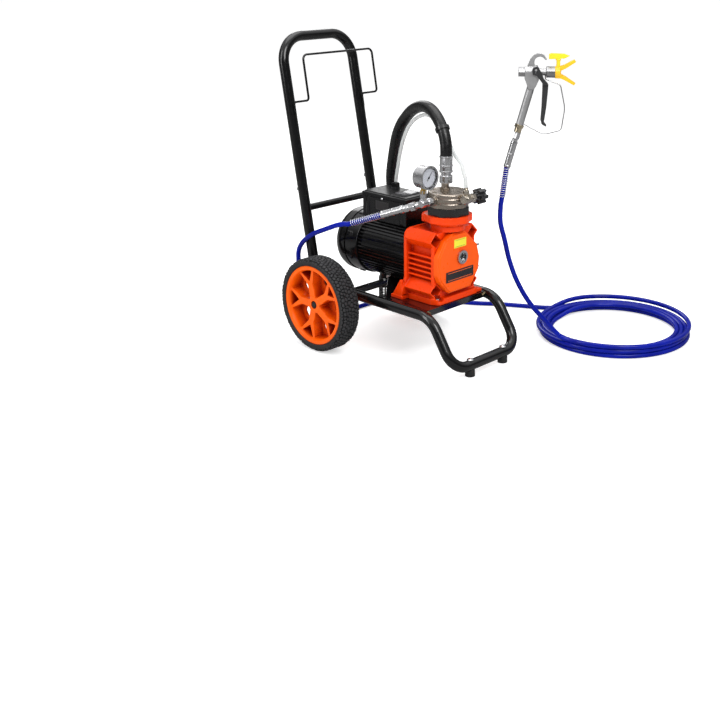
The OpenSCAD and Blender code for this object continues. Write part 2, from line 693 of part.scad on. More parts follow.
module strainer() color(dark_grey) translate([strainer_x, strainer_y, 0]) difference() {
  union() {
    translate([0, 0, 62]) cylinder(h = 42, r = 18.5);
    translate([0, 0, 103]) cylinder(h = 26, r = 18.5);
  }
  translate([0, 0, 66]) cylinder(h = 35, r = 16);
  translate([0, 0, 105.5]) cylinder(h = 40, r = 16.3);
  translate([0, 0, 90]) cylinder(h = 30, r = 8);
  // rows of slots through the wall
  for (z = [68:5.5:96]) for (a = [0:30:179])
    translate([0, 0, z]) rotate([0, 0, a]) translate([-30, -3, 0]) cube([60, 6, 3]);
}

// from the prime valve's barb, beside the suction hose, [x, y, z]
return_path = smooth([[barb_x, barb_y, 466], [342, 2, 486], [333, 4, 502], [316, 14, 520],
  [273, 32, 541], [240, 45, 574], [213, 47, 603], [186, 50, 619], [164, 52, 624],
  [145, 53, 622], [114, 58, 609], [86, 60, 585], [64, 62, 549], [48, 65, 510], [36, 67, 465],
  [25, 70, 415], [19, 82, 350], [15, 97.5, 305], [12, 102, 263], [7, 98, 220], [-4, 85, 170],
  [-12, 75, 140], [-16, 72, 112]], 2);
module return_hose() color([0.85, 0.86, 0.86]) sweep(return_path, 5, 8);

// clip that holds the return hose beside the suction hose
module hose_clip() {
  centre = suction_path[6];
  reach = (return_path[10] + return_path[11]) / 2 - centre;
  along = tangent(suction_path, 6);
  toward = perp(along, reach);
  spacing = reach * toward;
  color(black) in_axes(toward, cross(along, toward), along, centre) difference() {
    union() {
      cylinder(h = 9, r = 19);
      translate([spacing, 0, 0.3]) cylinder(h = 8.4, r = 9.6);
      translate([14, -5, 0.6]) cube([spacing - 20, 10, 7.8]);
    }
    translate([0, 0, -1]) cylinder(h = 14, r = 16.9);
    translate([spacing, 0, -1]) cylinder(h = 14, r = 7.2);
  }
}

valve_x = 347.5;    // axis of the prime valve's knob
valve_z = 436;
knob_stem_r = 5;
module prime_valve() color(steel) difference() {
  union() {
    translate([head_x + head_r + 0.4, -12, 423.5]) cube([25, 27, 26]);
    facing_y([valve_x, 15, valve_z], 1) cylinder(h = 13, r = 12.5, $fn = 6);
    // barb for the return hose
    translate([345, barb_y, 449]) cylinder(h = 10, r = 8, $fn = 6);
    translate([barb_x, barb_y, 449]) cylinder(h = 16.5, r = 5.8);
  }
  facing_y([valve_x, -8, valve_z], 1) cylinder(h = 60, r = knob_stem_r + fit);
  translate([barb_x, barb_y, 439]) cylinder(h = 40, r = 2.5);
  facing_x([head_x + head_r - 2, pump_y, return_z]) cylinder(h = 16, r = 3);
}
module prime_knob() color(black) facing_y([valve_x, 0, valve_z], 1) {
  translate([0, 0, -6]) cylinder(h = 44, r = knob_stem_r);
  translate([0, 0, 29]) cylinder(h = 9, r = 11);
  translate([0, 0, 37]) difference() {
    union() {
      cylinder(h = 26, r = 13);
      for (a = [0:60:359]) rotate([0, 0, a]) translate([0, -4.5, 0]) cube([20, 9, 26]);
    }
    translate([0, 0, 22]) cylinder(h = 6, r = 8);
  }
}

// ---------- spray hose ----------
hose_r = hose_d / 2;
// gun placement: its local x runs along the barrel, y to the gun's left
gun_at = [395, 165, 0];
gun_turn = 40.77;
grip_x = 19;        // top of the grip's axis, in the gun's frame
grip_z = 720;
grip_lean = 15.4;

// upward direction leaning towards the gun's front
function gun_tilt(a) = [sin(a) * cos(gun_turn), sin(a) * sin(gun_turn), cos(a)];
gun_up = gun_tilt(grip_lean);
gun_hang = gun_tilt(7.7);   // hose below the grip

// hose ends: nut, end of the crimped sleeve, end of the coil guard
pump_nut = tee + 22.5 * hose_dir;
pump_sleeve = pump_nut + 104 * hose_dir;
pump_guard = pump_sleeve + 96 * hose_dir;
gun_nut = gun_at + [grip_x * cos(gun_turn), grip_x * sin(gun_turn), grip_z] - 130.4 * gun_up;
gun_sleeve = gun_nut - 96 * gun_up;
gun_guard = gun_sleeve - 84 * gun_hang;

module hose_fittings() color(steel) {
  // pump end: nut and long crimped sleeve
  difference() {
    union() {
      bar(pump_nut, pump_nut + 16 * hose_dir, 12, $fn = 6);
      bar(pump_nut + 15 * hose_dir, pump_sleeve, 10.5);
    }
    bar(pump_nut - hose_dir, pump_nut + 32 * hose_dir, 4);
    bar(pump_nut + 30 * hose_dir, pump_sleeve + hose_dir, hose_r + 0.1);
  }
  // gun end: nut, neck and sleeve
  difference() {
    union() {
      bar(gun_nut, gun_nut - 18 * gun_up, 11, $fn = 6);
      bar(gun_nut - 17 * gun_up, gun_nut - 24 * gun_up, 7.5);
      bar(gun_nut - 20 * gun_up, gun_sleeve, 9.5);
    }
    bar(gun_nut + gun_up, gun_nut - 50 * gun_up, 4);
    bar(gun_nut - 48 * gun_up, gun_sleeve - gun_up, hose_r + 0.1);
  }
}

module coil_guard(from, to, turns) {
  dir = unit(to - from);
  u = perp(dir, [0, 1, 0]);
  v = cross(dir, u);
  rise = norm(to - from) - 4;
  sweep([for (a = [0:30:360 * turns]) from + dir * (2.6 + rise * a / 360 / turns)
    + (hose_r + 2) * (cos(a) * u + sin(a) * v)], 1.1, 5);
}
module hose_guards() color(steel) {
  coil_guard(pump_sleeve, pump_guard, 15);
  coil_guard(gun_sleeve, gun_guard, 14);
}

// floor coil in flat layers: inward in the first, outward in the second, part of a turn on top
coil_centre = [505, 452];
coil_outer_r = 213.2;
coil_pitch = 13.4;
layer_turns = 3;
layer_rise = 13.2;
coil_inner_r = coil_outer_r - layer_turns * coil_pitch;
function coil_radius(n) =
  n < layer_turns ? coil_outer_r - coil_pitch * n
  : n < 2 * layer_turns ? coil_inner_r + coil_pitch * (n - layer_turns)
  : coil_outer_r - 6 * (n - 2 * layer_turns);
// eased rise from 0 to 1 starting at turn `from`
function climb(n, from) = let (t = max(0, min(1, (n - from) / 0.12))) t * t * (3 - 2 * t);
function coil_z(n) = hose_r + layer_rise * (climb(n, 2.88) + climb(n, 5.88));
coil = [for (n = [0:1 / 30:6.68]) let (a = 150 - 360 * n)
  [coil_centre[0] + coil_radius(n) * cos(a), coil_centre[1] + coil_radius(n) * sin(a), coil_z(n)]];

// from the pump down behind the cart and along the floor to the coil, [x, y, z]
lead_in = smooth([pump_sleeve - 60 * hose_dir, pump_sleeve, pump_guard,
  [58, -154.2, 348.5], [31, -156.6, 340], [-11.5, -157.4, 322], [-60.8, -156.6, 300],
  [-100.3, -154.5, 275], [-123, -152.5, 252], [-133, -151, 231], [-134.5, -150, 205],
  [-138, -147.5, 150], [-146, -128, 52], [-152, -90, 17], [-156, -30, hose_r + 1],
  [-160, 60, hose_r + 0.2], [-158, 150, hose_r], [-150, 208, hose_r], [-110, 256, hose_r],
  [-40, 300, hose_r], [57, 349, hose_r], [130, 400, hose_r], [200, 440, hose_r],
  [250, 468, hose_r], [290, 508, hose_r], [320.4, 558.6, hose_r]], 2);
// from the coil up into the gun's fitting, [x, y, z]
lead_out = smooth([[487, 242, 33], [472, 231, 47], [457, 218, 68], [441, 204.5, 92],
  [421.7, 188, 120], [402.6, 171.6, 157], [385, 156.3, 203], [371.5, 144.7, 254],
  [362.5, 137, 304], gun_guard - 66 * gun_hang + [4.5, 4, 0], gun_guard - 22 * gun_hang,
  gun_guard, gun_sleeve - 5 * gun_up, gun_sleeve - 1.5 * gun_up, gun_sleeve + 44 * gun_up], 3);
module spray_hose() color(blue)
  sweep(concat(lead_in, [for (i = [1:len(coil) - 2]) coil[i]], lead_out), hose_r, hose_sides);

// ---------- gun ----------
barrel_z = 750;
pivot_x = 28;       // trigger pivot
pivot_z = 756;
pivot_r = 3;
pin_x = 27.3;       // cross pin of the needle
tip_x = 85;         // upright stem of the spray tip
tip_r = 5;

module in_gun() translate(gun_at) rotate([0, 0, gun_turn]) children();
module along(x, radius, length) facing_x([x, 0, barrel_z]) cylinder(h = length, r = radius);
module across(x, z, radius, reach) facing_y([x, reach, z]) cylinder(h = 2 * reach, r = radius);
// [x, z] outline centred on the gun's middle plane
module gun_plate(width) plate_y(width / 2, width) children();
// `down` is measured down the grip's axis
module on_grip(down)
  translate([grip_x, 0, grip_z]) rotate([0, grip_lean, 0]) translate([0, 0, -down]) children();

// block between barrel and grip, [x, z]
block_outline = [[0, 748], [36, 748], [36, 730], [30, 716], [24, 706], [10, 706], [4, 722],
  [0, 732]];
module gun_body() color([0.72, 0.72, 0.73]) in_gun() difference() {
  union() {
    along(0, 13.5, 36);
    along(35, 9, 20);
    gun_plate(24) polygon(block_outline);
    // grip tube
    on_grip(110) cylinder(h = 112, r = 10);
    // hanging hook on top
    gun_plate(9) difference() {
      union() {
        translate([35, 777]) circle(21);
        polygon([[2, 755], [30, 755], [30, 770], [15, 786]]);
      }
      translate([38, 775]) circle(14);
      translate([36, 745]) square([40, 36]);
    }
    // pivot stubs
    for (side = [-1, 1])
      facing_y([pivot_x, side * 11, pivot_z], side) cylinder(h = 8.5, r = pivot_r);
  }
  // fluid and needle bores
  along(-1, 6, 24);
  along(20, 3, 40);
  on_grip(111) cylinder(h = 108, r = 6.5);
  on_grip(10) cylinder(h = 30, r = 3);
  // slot for the needle's cross pin
  translate([23, -16, barrel_z - 1.9]) cube([6.5, 32, 3.8]);
}
module gun_cap() color(dark_grey) in_gun() difference() {
  union() {
    along(-16, 12.5, 15.8, $fn = 8);
    along(-1, 5.9, 12);
  }
  along(-12, 4.2, 30);
}
module gun_needle() color(steel) in_gun() {
  along(-4, 2, 60);
  along(-4, 4, 8);
  across(pin_x, barrel_z, 1.5, 17.5);
}

// [x, z]: over the cheeks, down the front of the blade and back up behind it
trigger_outline = [[18, 757], [22, 764], [33, 765], [42, 751], [50, 731], [61, 719], [60, 700],
  [57, 660], [52, 622], [59, 613], [56, 610], [46, 616], [43, 626], [45, 660], [46, 700],
  [46, 722], [30, 742], [20, 744]];
module trigger() color([0.17, 0.17, 0.18]) in_gun() difference() {
  union() {
    // wide cheeks, then the narrow blade
    gun_plate(37) polygon([for (i = [0:5]) trigger_outline[i], [48, 719], [44, 724],
      trigger_outline[16], trigger_outline[17]]);
    gun_plate(18) polygon([for (i = [5:15]) trigger_outline[i]]);
  }
  // clear space between the cheeks
  gun_plate(29.2)
    polygon([[0, 800], [70, 800], [49, 751], [47, 731], [44, 724], [44, 700], [0, 700]]);
  across(pivot_x, pivot_z, pivot_r + 0.06, 30);
  // slot for the needle's cross pin
  translate([pin_x - 1.62, -30, barrel_z - 2.4]) cube([3.24, 60, 4.8]);
}
module trigger_guard() color(steel) in_gun()
  bent([[52.5, 0, 740.9], [53.2, 0, 731.6], [92, 0, 718], [105, 0, 658], [97, 0, 600],
        [50, 0, 588], [0.8, 0, 615.1]], [0, 5, 12, 60, 12, 40, 0], 1.6);
module gun_swivel() color([0.75, 0.66, 0.45]) in_gun() on_grip(110.2) difference() {
  union() {
    translate([0, 0, -8]) cylinder(h = 8, r = 12, $fn = 6);
    translate([0, 0, -20]) cylinder(h = 13, r = 9.5);
    translate([0, 0, -0.1]) cylinder(h = 14, r = 6.44);
  }
  translate([0, 0, -30]) cylinder(h = 60, r = 3.5);
}
module tip_nut() color(steel) in_gun() difference() {
  along(55.1, 14.5, 21.7, $fn = 12);
  along(50, 3.2, 50);
}

// one prong of the guard, [x, distance above or below the barrel's axis]
prong = [[86, 6], [92, 4], [104, 10], [130, 27], [126, 33], [100, 19], [86, 14]];
module tip_guard() color([0.97, 0.78, 0.08]) in_gun() difference() {
  union() {
    along(76.9, 14.5, 13);
    translate([tip_x, 0, barrel_z - 15.5]) cylinder(h = 31, r = 8);
    for (side = [-1, 1])
      gun_plate(16) polygon([for (p = prong) [p[0], barrel_z + side * p[1]]]);
  }
  translate([tip_x, 0, barrel_z - 20]) cylinder(h = 50, r = tip_r + fit);
  along(70, 2.5, 50);
}

// flag on top of the stem, [x, z]
flag_outline = [[61, 783], [100, 785], [114, 792], [100, 797], [66, 798], [61, 796]];
module spray_tip() color([0.98, 0.85, 0.1]) in_gun() difference() {
  union() {
    translate([tip_x, 0, barrel_z - 13]) cylinder(h = 48, r = tip_r);
    translate([tip_x, 0, 780]) cylinder(h = 3, r = 7);
    gun_plate(10) polygon(flag_outline);
  }
  along(70, 0.8, 40);
}

translate(origin) base_frame();
translate(origin) deck_plate();
translate(origin) axle();
translate(origin) axle_clips();
translate(origin) rim_right();
translate(origin) tyre_right();
translate(origin) rim_left();
translate(origin) tyre_left();
translate(origin) handle_frame();
translate(origin) hose_hook();
translate(origin) frame_bolts();
translate(origin) rubber_feet();
translate(origin) motor_housing();
translate(origin) rear_bell();
translate(origin) fan_cowl();
translate(origin) stator();
translate(origin) terminal_box();
translate(origin) terminal_lid();
translate(origin) power_switch();
translate(origin) pump_housing();
translate(origin) front_cover();
translate(origin) sight_bezel();
translate(origin) sight_lens();
translate(origin) pump_bolts();
translate(origin) label_plates();
translate(origin) pump_collar();
translate(origin) spacer_ring();
translate(origin) paint_head();
translate(origin) diaphragm();
translate(origin) piston();
translate(origin) piston_spring();
translate(origin) inlet_adapter();
translate(origin) check_balls();
translate(origin) outlet_tee();
translate(origin) gauge_case();
translate(origin) gauge_dial();
translate(origin) gauge_needle();
translate(origin) gauge_glass();
translate(origin) suction_coupling();
translate(origin) suction_hose();
translate(origin) hose_clip();
translate(origin) strainer();
translate(origin) return_hose();
translate(origin) prime_valve();
translate(origin) prime_knob();
translate(origin) rotor();
translate(origin) cooling_fan();
translate(origin) hose_fittings();
translate(origin) hose_guards();
translate(origin) spray_hose();
translate(origin) gun_body();
translate(origin) gun_cap();
translate(origin) gun_needle();
translate(origin) trigger();
translate(origin) trigger_guard();
translate(origin) gun_swivel();
translate(origin) tip_nut();
translate(origin) tip_guard();
translate(origin) spray_tip();
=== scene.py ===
import json
import math

import bmesh
import bpy
import numpy as np
from mathutils import Matrix, Vector


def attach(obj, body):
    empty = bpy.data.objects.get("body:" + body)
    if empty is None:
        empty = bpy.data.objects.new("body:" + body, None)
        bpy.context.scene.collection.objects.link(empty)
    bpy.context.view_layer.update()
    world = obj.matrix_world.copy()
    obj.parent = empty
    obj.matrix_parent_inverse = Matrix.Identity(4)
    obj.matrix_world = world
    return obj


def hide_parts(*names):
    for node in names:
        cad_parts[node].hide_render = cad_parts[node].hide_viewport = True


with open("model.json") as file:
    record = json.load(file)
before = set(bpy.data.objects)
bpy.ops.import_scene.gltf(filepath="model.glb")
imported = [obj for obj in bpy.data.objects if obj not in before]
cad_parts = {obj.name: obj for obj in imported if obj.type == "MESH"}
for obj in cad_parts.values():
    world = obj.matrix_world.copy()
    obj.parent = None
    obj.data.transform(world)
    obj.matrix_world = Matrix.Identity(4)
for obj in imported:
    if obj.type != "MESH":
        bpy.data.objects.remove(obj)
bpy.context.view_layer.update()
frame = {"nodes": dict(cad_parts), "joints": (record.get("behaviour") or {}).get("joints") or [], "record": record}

NODES = frame["nodes"]
JOINT = {j["name"]: j for j in frame["joints"]}
BODY = {n: b for b, ns in frame["record"]["behaviour"]["bodies"].items() for n in ns}
SLOT = {s["node"]: s["material_slot"] for s in frame["record"]["subparts"]}

# the design's own zero is on the floor under the middle of the axle; the right wheel's joint says where that is
_w = JOINT["wheel_right_spin"]["pos_m"]
ZERO = np.array([_w[0], _w[1] + 0.1925, 0.0])


def M(p):
    """millimetres from the design's zero to metres in the row frame"""
    return np.asarray(p, float) * 0.001 + ZERO


# ------------------------------------------------------------------ materials
class Mat:
    def __init__(self, name):
        self.m = bpy.data.materials.new(name)
        self.m.use_nodes = True
        self.t = self.m.node_tree
        self.t.nodes.clear()
        self.out = self.t.nodes.new("ShaderNodeOutputMaterial")
        self.b = self.t.nodes.new("ShaderNodeBsdfPrincipled")
        self.t.links.new(self.b.outputs[0], self.out.inputs[0])
        self.obj = self.t.nodes.new("ShaderNodeTexCoord").outputs["Object"]

    def node(self, kind, **kw):
        n = self.t.nodes.new(kind)
        for k, v in kw.items():
            setattr(n, k, v)
        return n

    def link(self, a, b):
        self.t.links.new(a, b)

    def scaled(self, v):
        n = self.node("ShaderNodeVectorMath", operation="MULTIPLY")
        self.link(self.obj, n.inputs[0])
        n.inputs[1].default_value = v
        return n.outputs[0]

    def noise(self, scale, detail=3.0, vec=None, rough=0.55):
        n = self.node("ShaderNodeTexNoise")
        n.inputs["Scale"].default_value = scale
        n.inputs["Detail"].default_value = detail
        n.inputs["Roughness"].default_value = rough
        self.link(vec if vec is not None else self.obj, n.inputs["Vector"])
        return n.outputs[0]

    def cells(self, scale, vec=None, feature="F1"):
        n = self.node("ShaderNodeTexVoronoi", feature=feature)
        n.inputs["Scale"].default_value = scale
        self.link(vec if vec is not None else self.obj, n.inputs["Vector"])
        return n.outputs[0]

    def range(self, v, a, b, lo, hi):
        n = self.node("ShaderNodeMapRange")
        self.link(v, n.inputs[0])
        for i, x in zip((1, 2, 3, 4), (a, b, lo, hi)):
            n.inputs[i].default_value = x
        return n.outputs[0]

    def math(self, op, a, b):
        n = self.node("ShaderNodeMath", operation=op)
        for i, x in ((0, a), (1, b)):
            if isinstance(x, (int, float)):
                n.inputs[i].default_value = x
            else:
                self.link(x, n.inputs[i])
        return n.outputs[0]

    def mix(self, fac, a, b):
        n = self.node("ShaderNodeMix", data_type="RGBA")
        if isinstance(fac, (int, float)):
            n.inputs[0].default_value = fac
        else:
            self.link(fac, n.inputs[0])
        for i, c in ((6, a), (7, b)):
            if isinstance(c, (tuple, list)):
                n.inputs[i].default_value = (*c[:3], 1)
            else:
                self.link(c, n.inputs[i])
        return n.outputs[2]

    def soft(self, radius):
        """rounded-edge normal, and a weight that is 1 along sharp edges, used for painted edge highlights"""
        bv = self.node("ShaderNodeBevel", samples=4)
        bv.inputs["Radius"].default_value = radius
        geo = self.node("ShaderNodeNewGeometry")
        dot = self.node("ShaderNodeVectorMath", operation="DOT_PRODUCT")
        self.link(bv.outputs[0], dot.inputs[0])
        self.link(geo.outputs["Normal"], dot.inputs[1])
        return bv.outputs[0], self.range(dot.outputs["Value"], 0.80, 0.99, 1.0, 0.0)

    def painted_recess_shade(self, dist, lo=0.35, hi=0.85):
        """weight for painted shade: 1 deep inside a recess or an inside corner, 0 on open faces"""
        n = self.node("ShaderNodeAmbientOcclusion", samples=6)
        n.inputs["Distance"].default_value = dist
        return self.range(n.outputs["AO"], lo, hi, 1.0, 0.0)

    def bump(self, height, strength, dist, normal=None):
        n = self.node("ShaderNodeBump")
        n.inputs["Strength"].default_value = strength
        n.inputs["Distance"].default_value = dist
        self.link(height, n.inputs["Height"])
        if normal is not None:
            self.link(normal, n.inputs["Normal"])
        return n.outputs[0]

    def put(self, **kw):
        for k, v in kw.items():
            s = self.b.inputs[k.replace("_", " ")]
            if isinstance(v, (int, float)):
                s.default_value = v
            elif isinstance(v, (tuple, list)):
                s.default_value = (*v[:3], 1)
            else:
                self.link(v, s)


def mul(c, k):
    return tuple(min(1.0, x * k) for x in c)


def paint(name, col, rough=0.3, metal=0.0, coat=0.0, vary=0.12, peel=(420.0, 0.10, 0.0003), edge=None, dust=0.0,
          spec=0.5, radius=0.0009, fine=(2600.0, 0.0), deep=None):
    m = Mat(name)
    soft, edge_highlight_weight = m.soft(radius) if radius else (None, None)
    big, mid = m.noise(11, 3), m.noise(90, 4)
    c = m.mix(m.range(big, 0.3, 0.7, 0, 1), mul(col, 1 - vary), mul(col, 1 + vary))
    if dust:
        c = m.mix(m.math("MULTIPLY", m.range(mid, 0.45, 0.75, 0, 1), dust), c, (0.34, 0.32, 0.29))
    # painted highlight: sharp edges lightened towards edge[0], broken up by noise
    if edge and edge_highlight_weight is not None:
        c = m.mix(m.math("MULTIPLY", m.math("MULTIPLY", edge_highlight_weight, m.range(mid, 0.35, 0.65, 0.25, 1)), edge[1]), c, edge[0])
    # painted shade: recesses and inside corners darkened towards deep[0]; deep is (colour, reach, strength)
    if deep:
        c = m.mix(m.math("MULTIPLY", m.painted_recess_shade(deep[1]), deep[2]), c, deep[0])
    h = m.noise(peel[0], 2)
    nrm = m.bump(h, peel[1], peel[2], soft)
    if fine[1]:
        nrm = m.bump(m.noise(fine[0], 2), fine[1], 0.0001, nrm)
    m.put(Base_Color=c, Roughness=m.range(mid, 0.25, 0.75, max(0.03, rough - 0.06), rough + 0.08), Metallic=metal, Normal=nrm)
    m.put(Coat_Weight=coat, Coat_Roughness=0.08)
    m.b.inputs["Specular IOR Level"].default_value = spec
    return m.m


def metal(name, col, rough=0.2, vary=0.10, brush=None, brush_bump=0.0, stain=None, radius=0.0006):
    m = Mat(name)
    soft, edge_highlight_weight = m.soft(radius) if radius else (None, None)
    big, mid = m.noise(35, 4), m.noise(260, 4)
    c = m.mix(m.range(big, 0.3, 0.7, 0, 1), mul(col, 1 - vary), mul(col, 1 + vary))
    if stain:
        c = m.mix(m.math("MULTIPLY", m.range(m.noise(70, 5), 0.5, 0.72, 0, 1), stain[1]), c, stain[0])
    # painted highlight: sharp edges brightened by 35%
    if edge_highlight_weight is not None:
        c = m.mix(m.math("MULTIPLY", edge_highlight_weight, 0.35), c, mul(col, 1.35))
    r = m.range(mid, 0.25, 0.75, max(0.02, rough - 0.05), rough + 0.09)
    h = m.noise(900, 2)
    nrm = m.bump(h, 0.05, 0.0001, soft)
    if brush:
        lines = m.noise(1.0, 4, m.scaled(brush))
        nrm = m.bump(lines, brush_bump, 0.00025, nrm)
        r = m.math("ADD", r, m.range(lines, 0.3, 0.7, -0.04, 0.06))
    m.put(Base_Color=c, Roughness=r, Metallic=1.0, Normal=nrm)
    return m.m


def rubber(name, col, rough=0.6, speck=0.0, bump=(700.0, 0.25, 0.0004), radius=0.0):
    m = Mat(name)
    soft, _ = m.soft(radius) if radius else (None, None)
    c = m.mix(m.range(m.noise(60, 4), 0.3, 0.7, 0, 1), mul(col, 0.7), mul(col, 1.5))
    if speck:
        s = m.range(m.noise(850, 2), 0.60, 0.72, 0, speck)
        c = m.mix(s, c, (0.22, 0.215, 0.21))
    m.put(Base_Color=c, Roughness=m.range(m.noise(150, 3), 0.3, 0.7, rough - 0.1, rough + 0.12),
          Normal=m.bump(m.noise(bump[0], 3), bump[1], bump[2], soft))
    m.b.inputs["Specular IOR Level"].default_value = 0.4
    return m.m


def clear(name, col, rough=0.03, ior=1.45, alpha=1.0):
    m = Mat(name)
    c = m.mix(m.range(m.noise(60, 3), 0.3, 0.7, 0, 1), mul(col, 0.97), col)
    m.put(Base_Color=c, Roughness=m.range(m.noise(240, 3), 0.3, 0.7, rough, rough + 0.03), IOR=ior, Alpha=alpha,
          Normal=m.bump(m.noise(300, 2), 0.02, 0.0001))
    m.b.inputs["Transmission Weight"].default_value = 1.0
    return m.m


BLACK = (0.003, 0.003, 0.0033)
# in these finishes edge lightens sharp edges as a painted highlight, and deep darkens recesses as painted shade
frame_paint = paint("frame_paint", BLACK, 0.18, coat=0.40, spec=0.3, vary=0.2, peel=(520, 0.10, 0.00025), edge=((0.05, 0.05, 0.052), 0.5))
deck_paint = paint("deck_paint", BLACK, 0.10, coat=0.8, vary=0.2, peel=(300, 0.05, 0.0002), edge=((0.06, 0.06, 0.062), 0.5))
motor_paint = paint("motor_paint", (0.0022, 0.0022, 0.0025), 0.15, coat=0.35, spec=0.25, vary=0.2, peel=(380, 0.10, 0.0003), edge=((0.09, 0.09, 0.092), 0.6), radius=0.0007)
box_paint = paint("box_paint", (0.0035, 0.0035, 0.0039), 0.24, coat=0.18, spec=0.25, vary=0.2, peel=(650, 0.12, 0.0002), edge=((0.07, 0.07, 0.073), 0.6), radius=0.0014)
lid_paint = paint("lid_paint", (0.006, 0.006, 0.0066), 0.30, coat=0.07, spec=0.18, vary=0.2, peel=(700, 0.18, 0.0002), edge=((0.08, 0.08, 0.083), 0.5), radius=0.0014)
switch_mat = paint("switch_boot", (0.12, 0.12, 0.128), 0.24, coat=0.4, vary=0.1, peel=(300, 0.08, 0.0003), edge=((0.3, 0.3, 0.31), 0.5))
# the pump housing and its front cover share one orange enamel: the housing's copy is darker as painted shade of its
# side, the cover's lighter as painted light on its lit front; both darken recesses towards their deep colour as painted
# shade
orange = paint("pump_enamel", (0.86, 0.050, 0.0004), 0.30, coat=0.03, spec=0.20, vary=0.05, peel=(330, 0.16, 0.0004), edge=((1.0, 0.17, 0.012), 0.55), radius=0.0012, deep=((0.44, 0.011, 0.0), 0.032, 0.75))
orange_lit_front = paint("cover_enamel_lit", (0.95, 0.100, 0.0012), 0.30, coat=0.03, spec=0.20, vary=0.04, peel=(330, 0.14, 0.0004), edge=((1.0, 0.22, 0.03), 0.5), radius=0.0012, deep=((0.60, 0.030, 0.0), 0.020, 0.7))
# painted shade: the web between the spokes darkened towards deep red
wheel_orange = paint("wheel_plastic", (0.98, 0.122, 0.0), 0.36, coat=0.02, spec=0.18, vary=0.05, peel=(620, 0.08, 0.0002), edge=((1.0, 0.30, 0.05), 0.4), radius=0, deep=((0.30, 0.006, 0.0), 0.040, 0.95))


def tyre_mat():
    m = Mat("tyre_rubber")
    at = m.node("ShaderNodeAttribute", attribute_name="deep")
    c = m.mix(m.range(m.noise(60, 4), 0.3, 0.7, 0, 1), (0.006, 0.006, 0.0066), (0.010, 0.010, 0.0108))
    c = m.mix(m.range(m.noise(850, 2), 0.60, 0.72, 0, 0.35), c, (0.16, 0.155, 0.15))
    # tread tops lighter than the sidewall; groove floors darkened nearly to black as painted shade
    c = m.mix(m.range(at.outputs["Fac"], 0.15, 0.75, 0.0, 1.0), (0.036, 0.036, 0.038), c)
    c = m.mix(m.range(at.outputs["Fac"], 0.55, 1.0, 0.0, 0.92), c, (0.0045, 0.0045, 0.005))
    m.put(Base_Color=c, Roughness=m.range(m.noise(150, 3), 0.3, 0.7, 0.46, 0.66), Normal=m.bump(m.noise(700, 3), 0.25, 0.0004))
    m.b.inputs["Specular IOR Level"].default_value = 0.22
    return m.m


tyre_rubber = tyre_mat()
hose_rubber = rubber("hose_rubber", (0.006, 0.006, 0.0064), 0.28, bump=(900, 0.12, 0.0002))
foot_rubber = rubber("foot_rubber", (0.013, 0.013, 0.0135), 0.55, radius=0.001)
black_plastic = paint("black_plastic", (0.007, 0.007, 0.0075), 0.28, coat=0.2, vary=0.2, peel=(700, 0.12, 0.0002), edge=((0.06, 0.06, 0.06), 0.4))
knob_plastic = paint("knob_plastic", (0.006, 0.006, 0.0065), 0.13, coat=0.6, vary=0.15, peel=(300, 0.05, 0.0002), edge=((0.05, 0.05, 0.052), 0.4))
chrome = metal("chrome", (0.56, 0.56, 0.57), 0.22, vary=0.06, radius=0)
valve_steel = metal("valve_steel", (0.52, 0.47, 0.40), 0.20, stain=((0.26, 0.20, 0.12), 0.5))
coil_wire = metal("coil_wire", (0.82, 0.84, 0.90), 0.24, radius=0)
dark_steel = metal("dark_steel", (0.07, 0.07, 0.073), 0.35, stain=((0.04, 0.035, 0.03), 0.5))
bolt_steel = metal("bolt_steel", (0.62, 0.62, 0.63), 0.22, stain=((0.42, 0.36, 0.26), 0.35))
shaft_steel = metal("shaft_steel", (0.56, 0.56, 0.57), 0.26, brush=(30, 900, 30), brush_bump=0.1)
head_steel = metal("head_steel", (0.39, 0.34, 0.29), 0.25, vary=0.18, brush=(25, 25, 1400), brush_bump=0.35, stain=((0.22, 0.175, 0.12), 0.5))
brass = metal("brass", (0.58, 0.50, 0.36), 0.22, vary=0.12)
stem_brass = metal("stem_brass", (0.52, 0.34, 0.10), 0.22, vary=0.15)
cap_steel = metal("cap_steel", (0.36, 0.36, 0.365), 0.30, vary=0.12)
weld_gold = metal("weld_bead", (0.33, 0.25, 0.14), 0.34, vary=0.35, stain=((0.12, 0.10, 0.09), 0.7), radius=0)
gun_alloy = metal("gun_alloy", (0.55, 0.55, 0.555), 0.46, vary=0.10)
dark_coat = paint("dark_coat", (0.060, 0.060, 0.063), 0.30, metal=0.6, vary=0.15, peel=(600, 0.15, 0.0003), edge=((0.20, 0.20, 0.21), 0.5))
guard_wire = metal("guard_wire", (0.58, 0.58, 0.585), 0.34, radius=0)
guard_yellow = paint("guard_plastic", (0.92, 0.52, 0.012), 0.34, coat=0.1, vary=0.06, peel=(500, 0.10, 0.0002), edge=((1.0, 0.72, 0.2), 0.4))
tip_yellow = paint("tip_plastic", (0.95, 0.68, 0.02), 0.32, coat=0.1, vary=0.06, peel=(500, 0.10, 0.0002), edge=((1.0, 0.82, 0.3), 0.4))
winding = metal("lamination", (0.20, 0.15, 0.11), 0.5, brush=(900, 20, 20), brush_bump=0.4)
glass = clear("clear_glass", (0.97, 0.98, 0.99), alpha=0.35)
ink = paint("dial_ink", (0.015, 0.02, 0.09), 0.5, vary=0.2, radius=0)
dial_face = paint("dial_face", (0.78, 0.80, 0.88), 0.45, vary=0.05, peel=(900, 0.03, 0.0001), radius=0)
dial_ring = paint("dial_ring", (0.006, 0.006, 0.0065), 0.25, coat=0.3, vary=0.2, radius=0)
# dark grey meant as painted shadow in pockets
pocket_shadow = paint("painted_pocket_shadow", (0.10, 0.10, 0.105), 0.12, vary=0.3, radius=0)


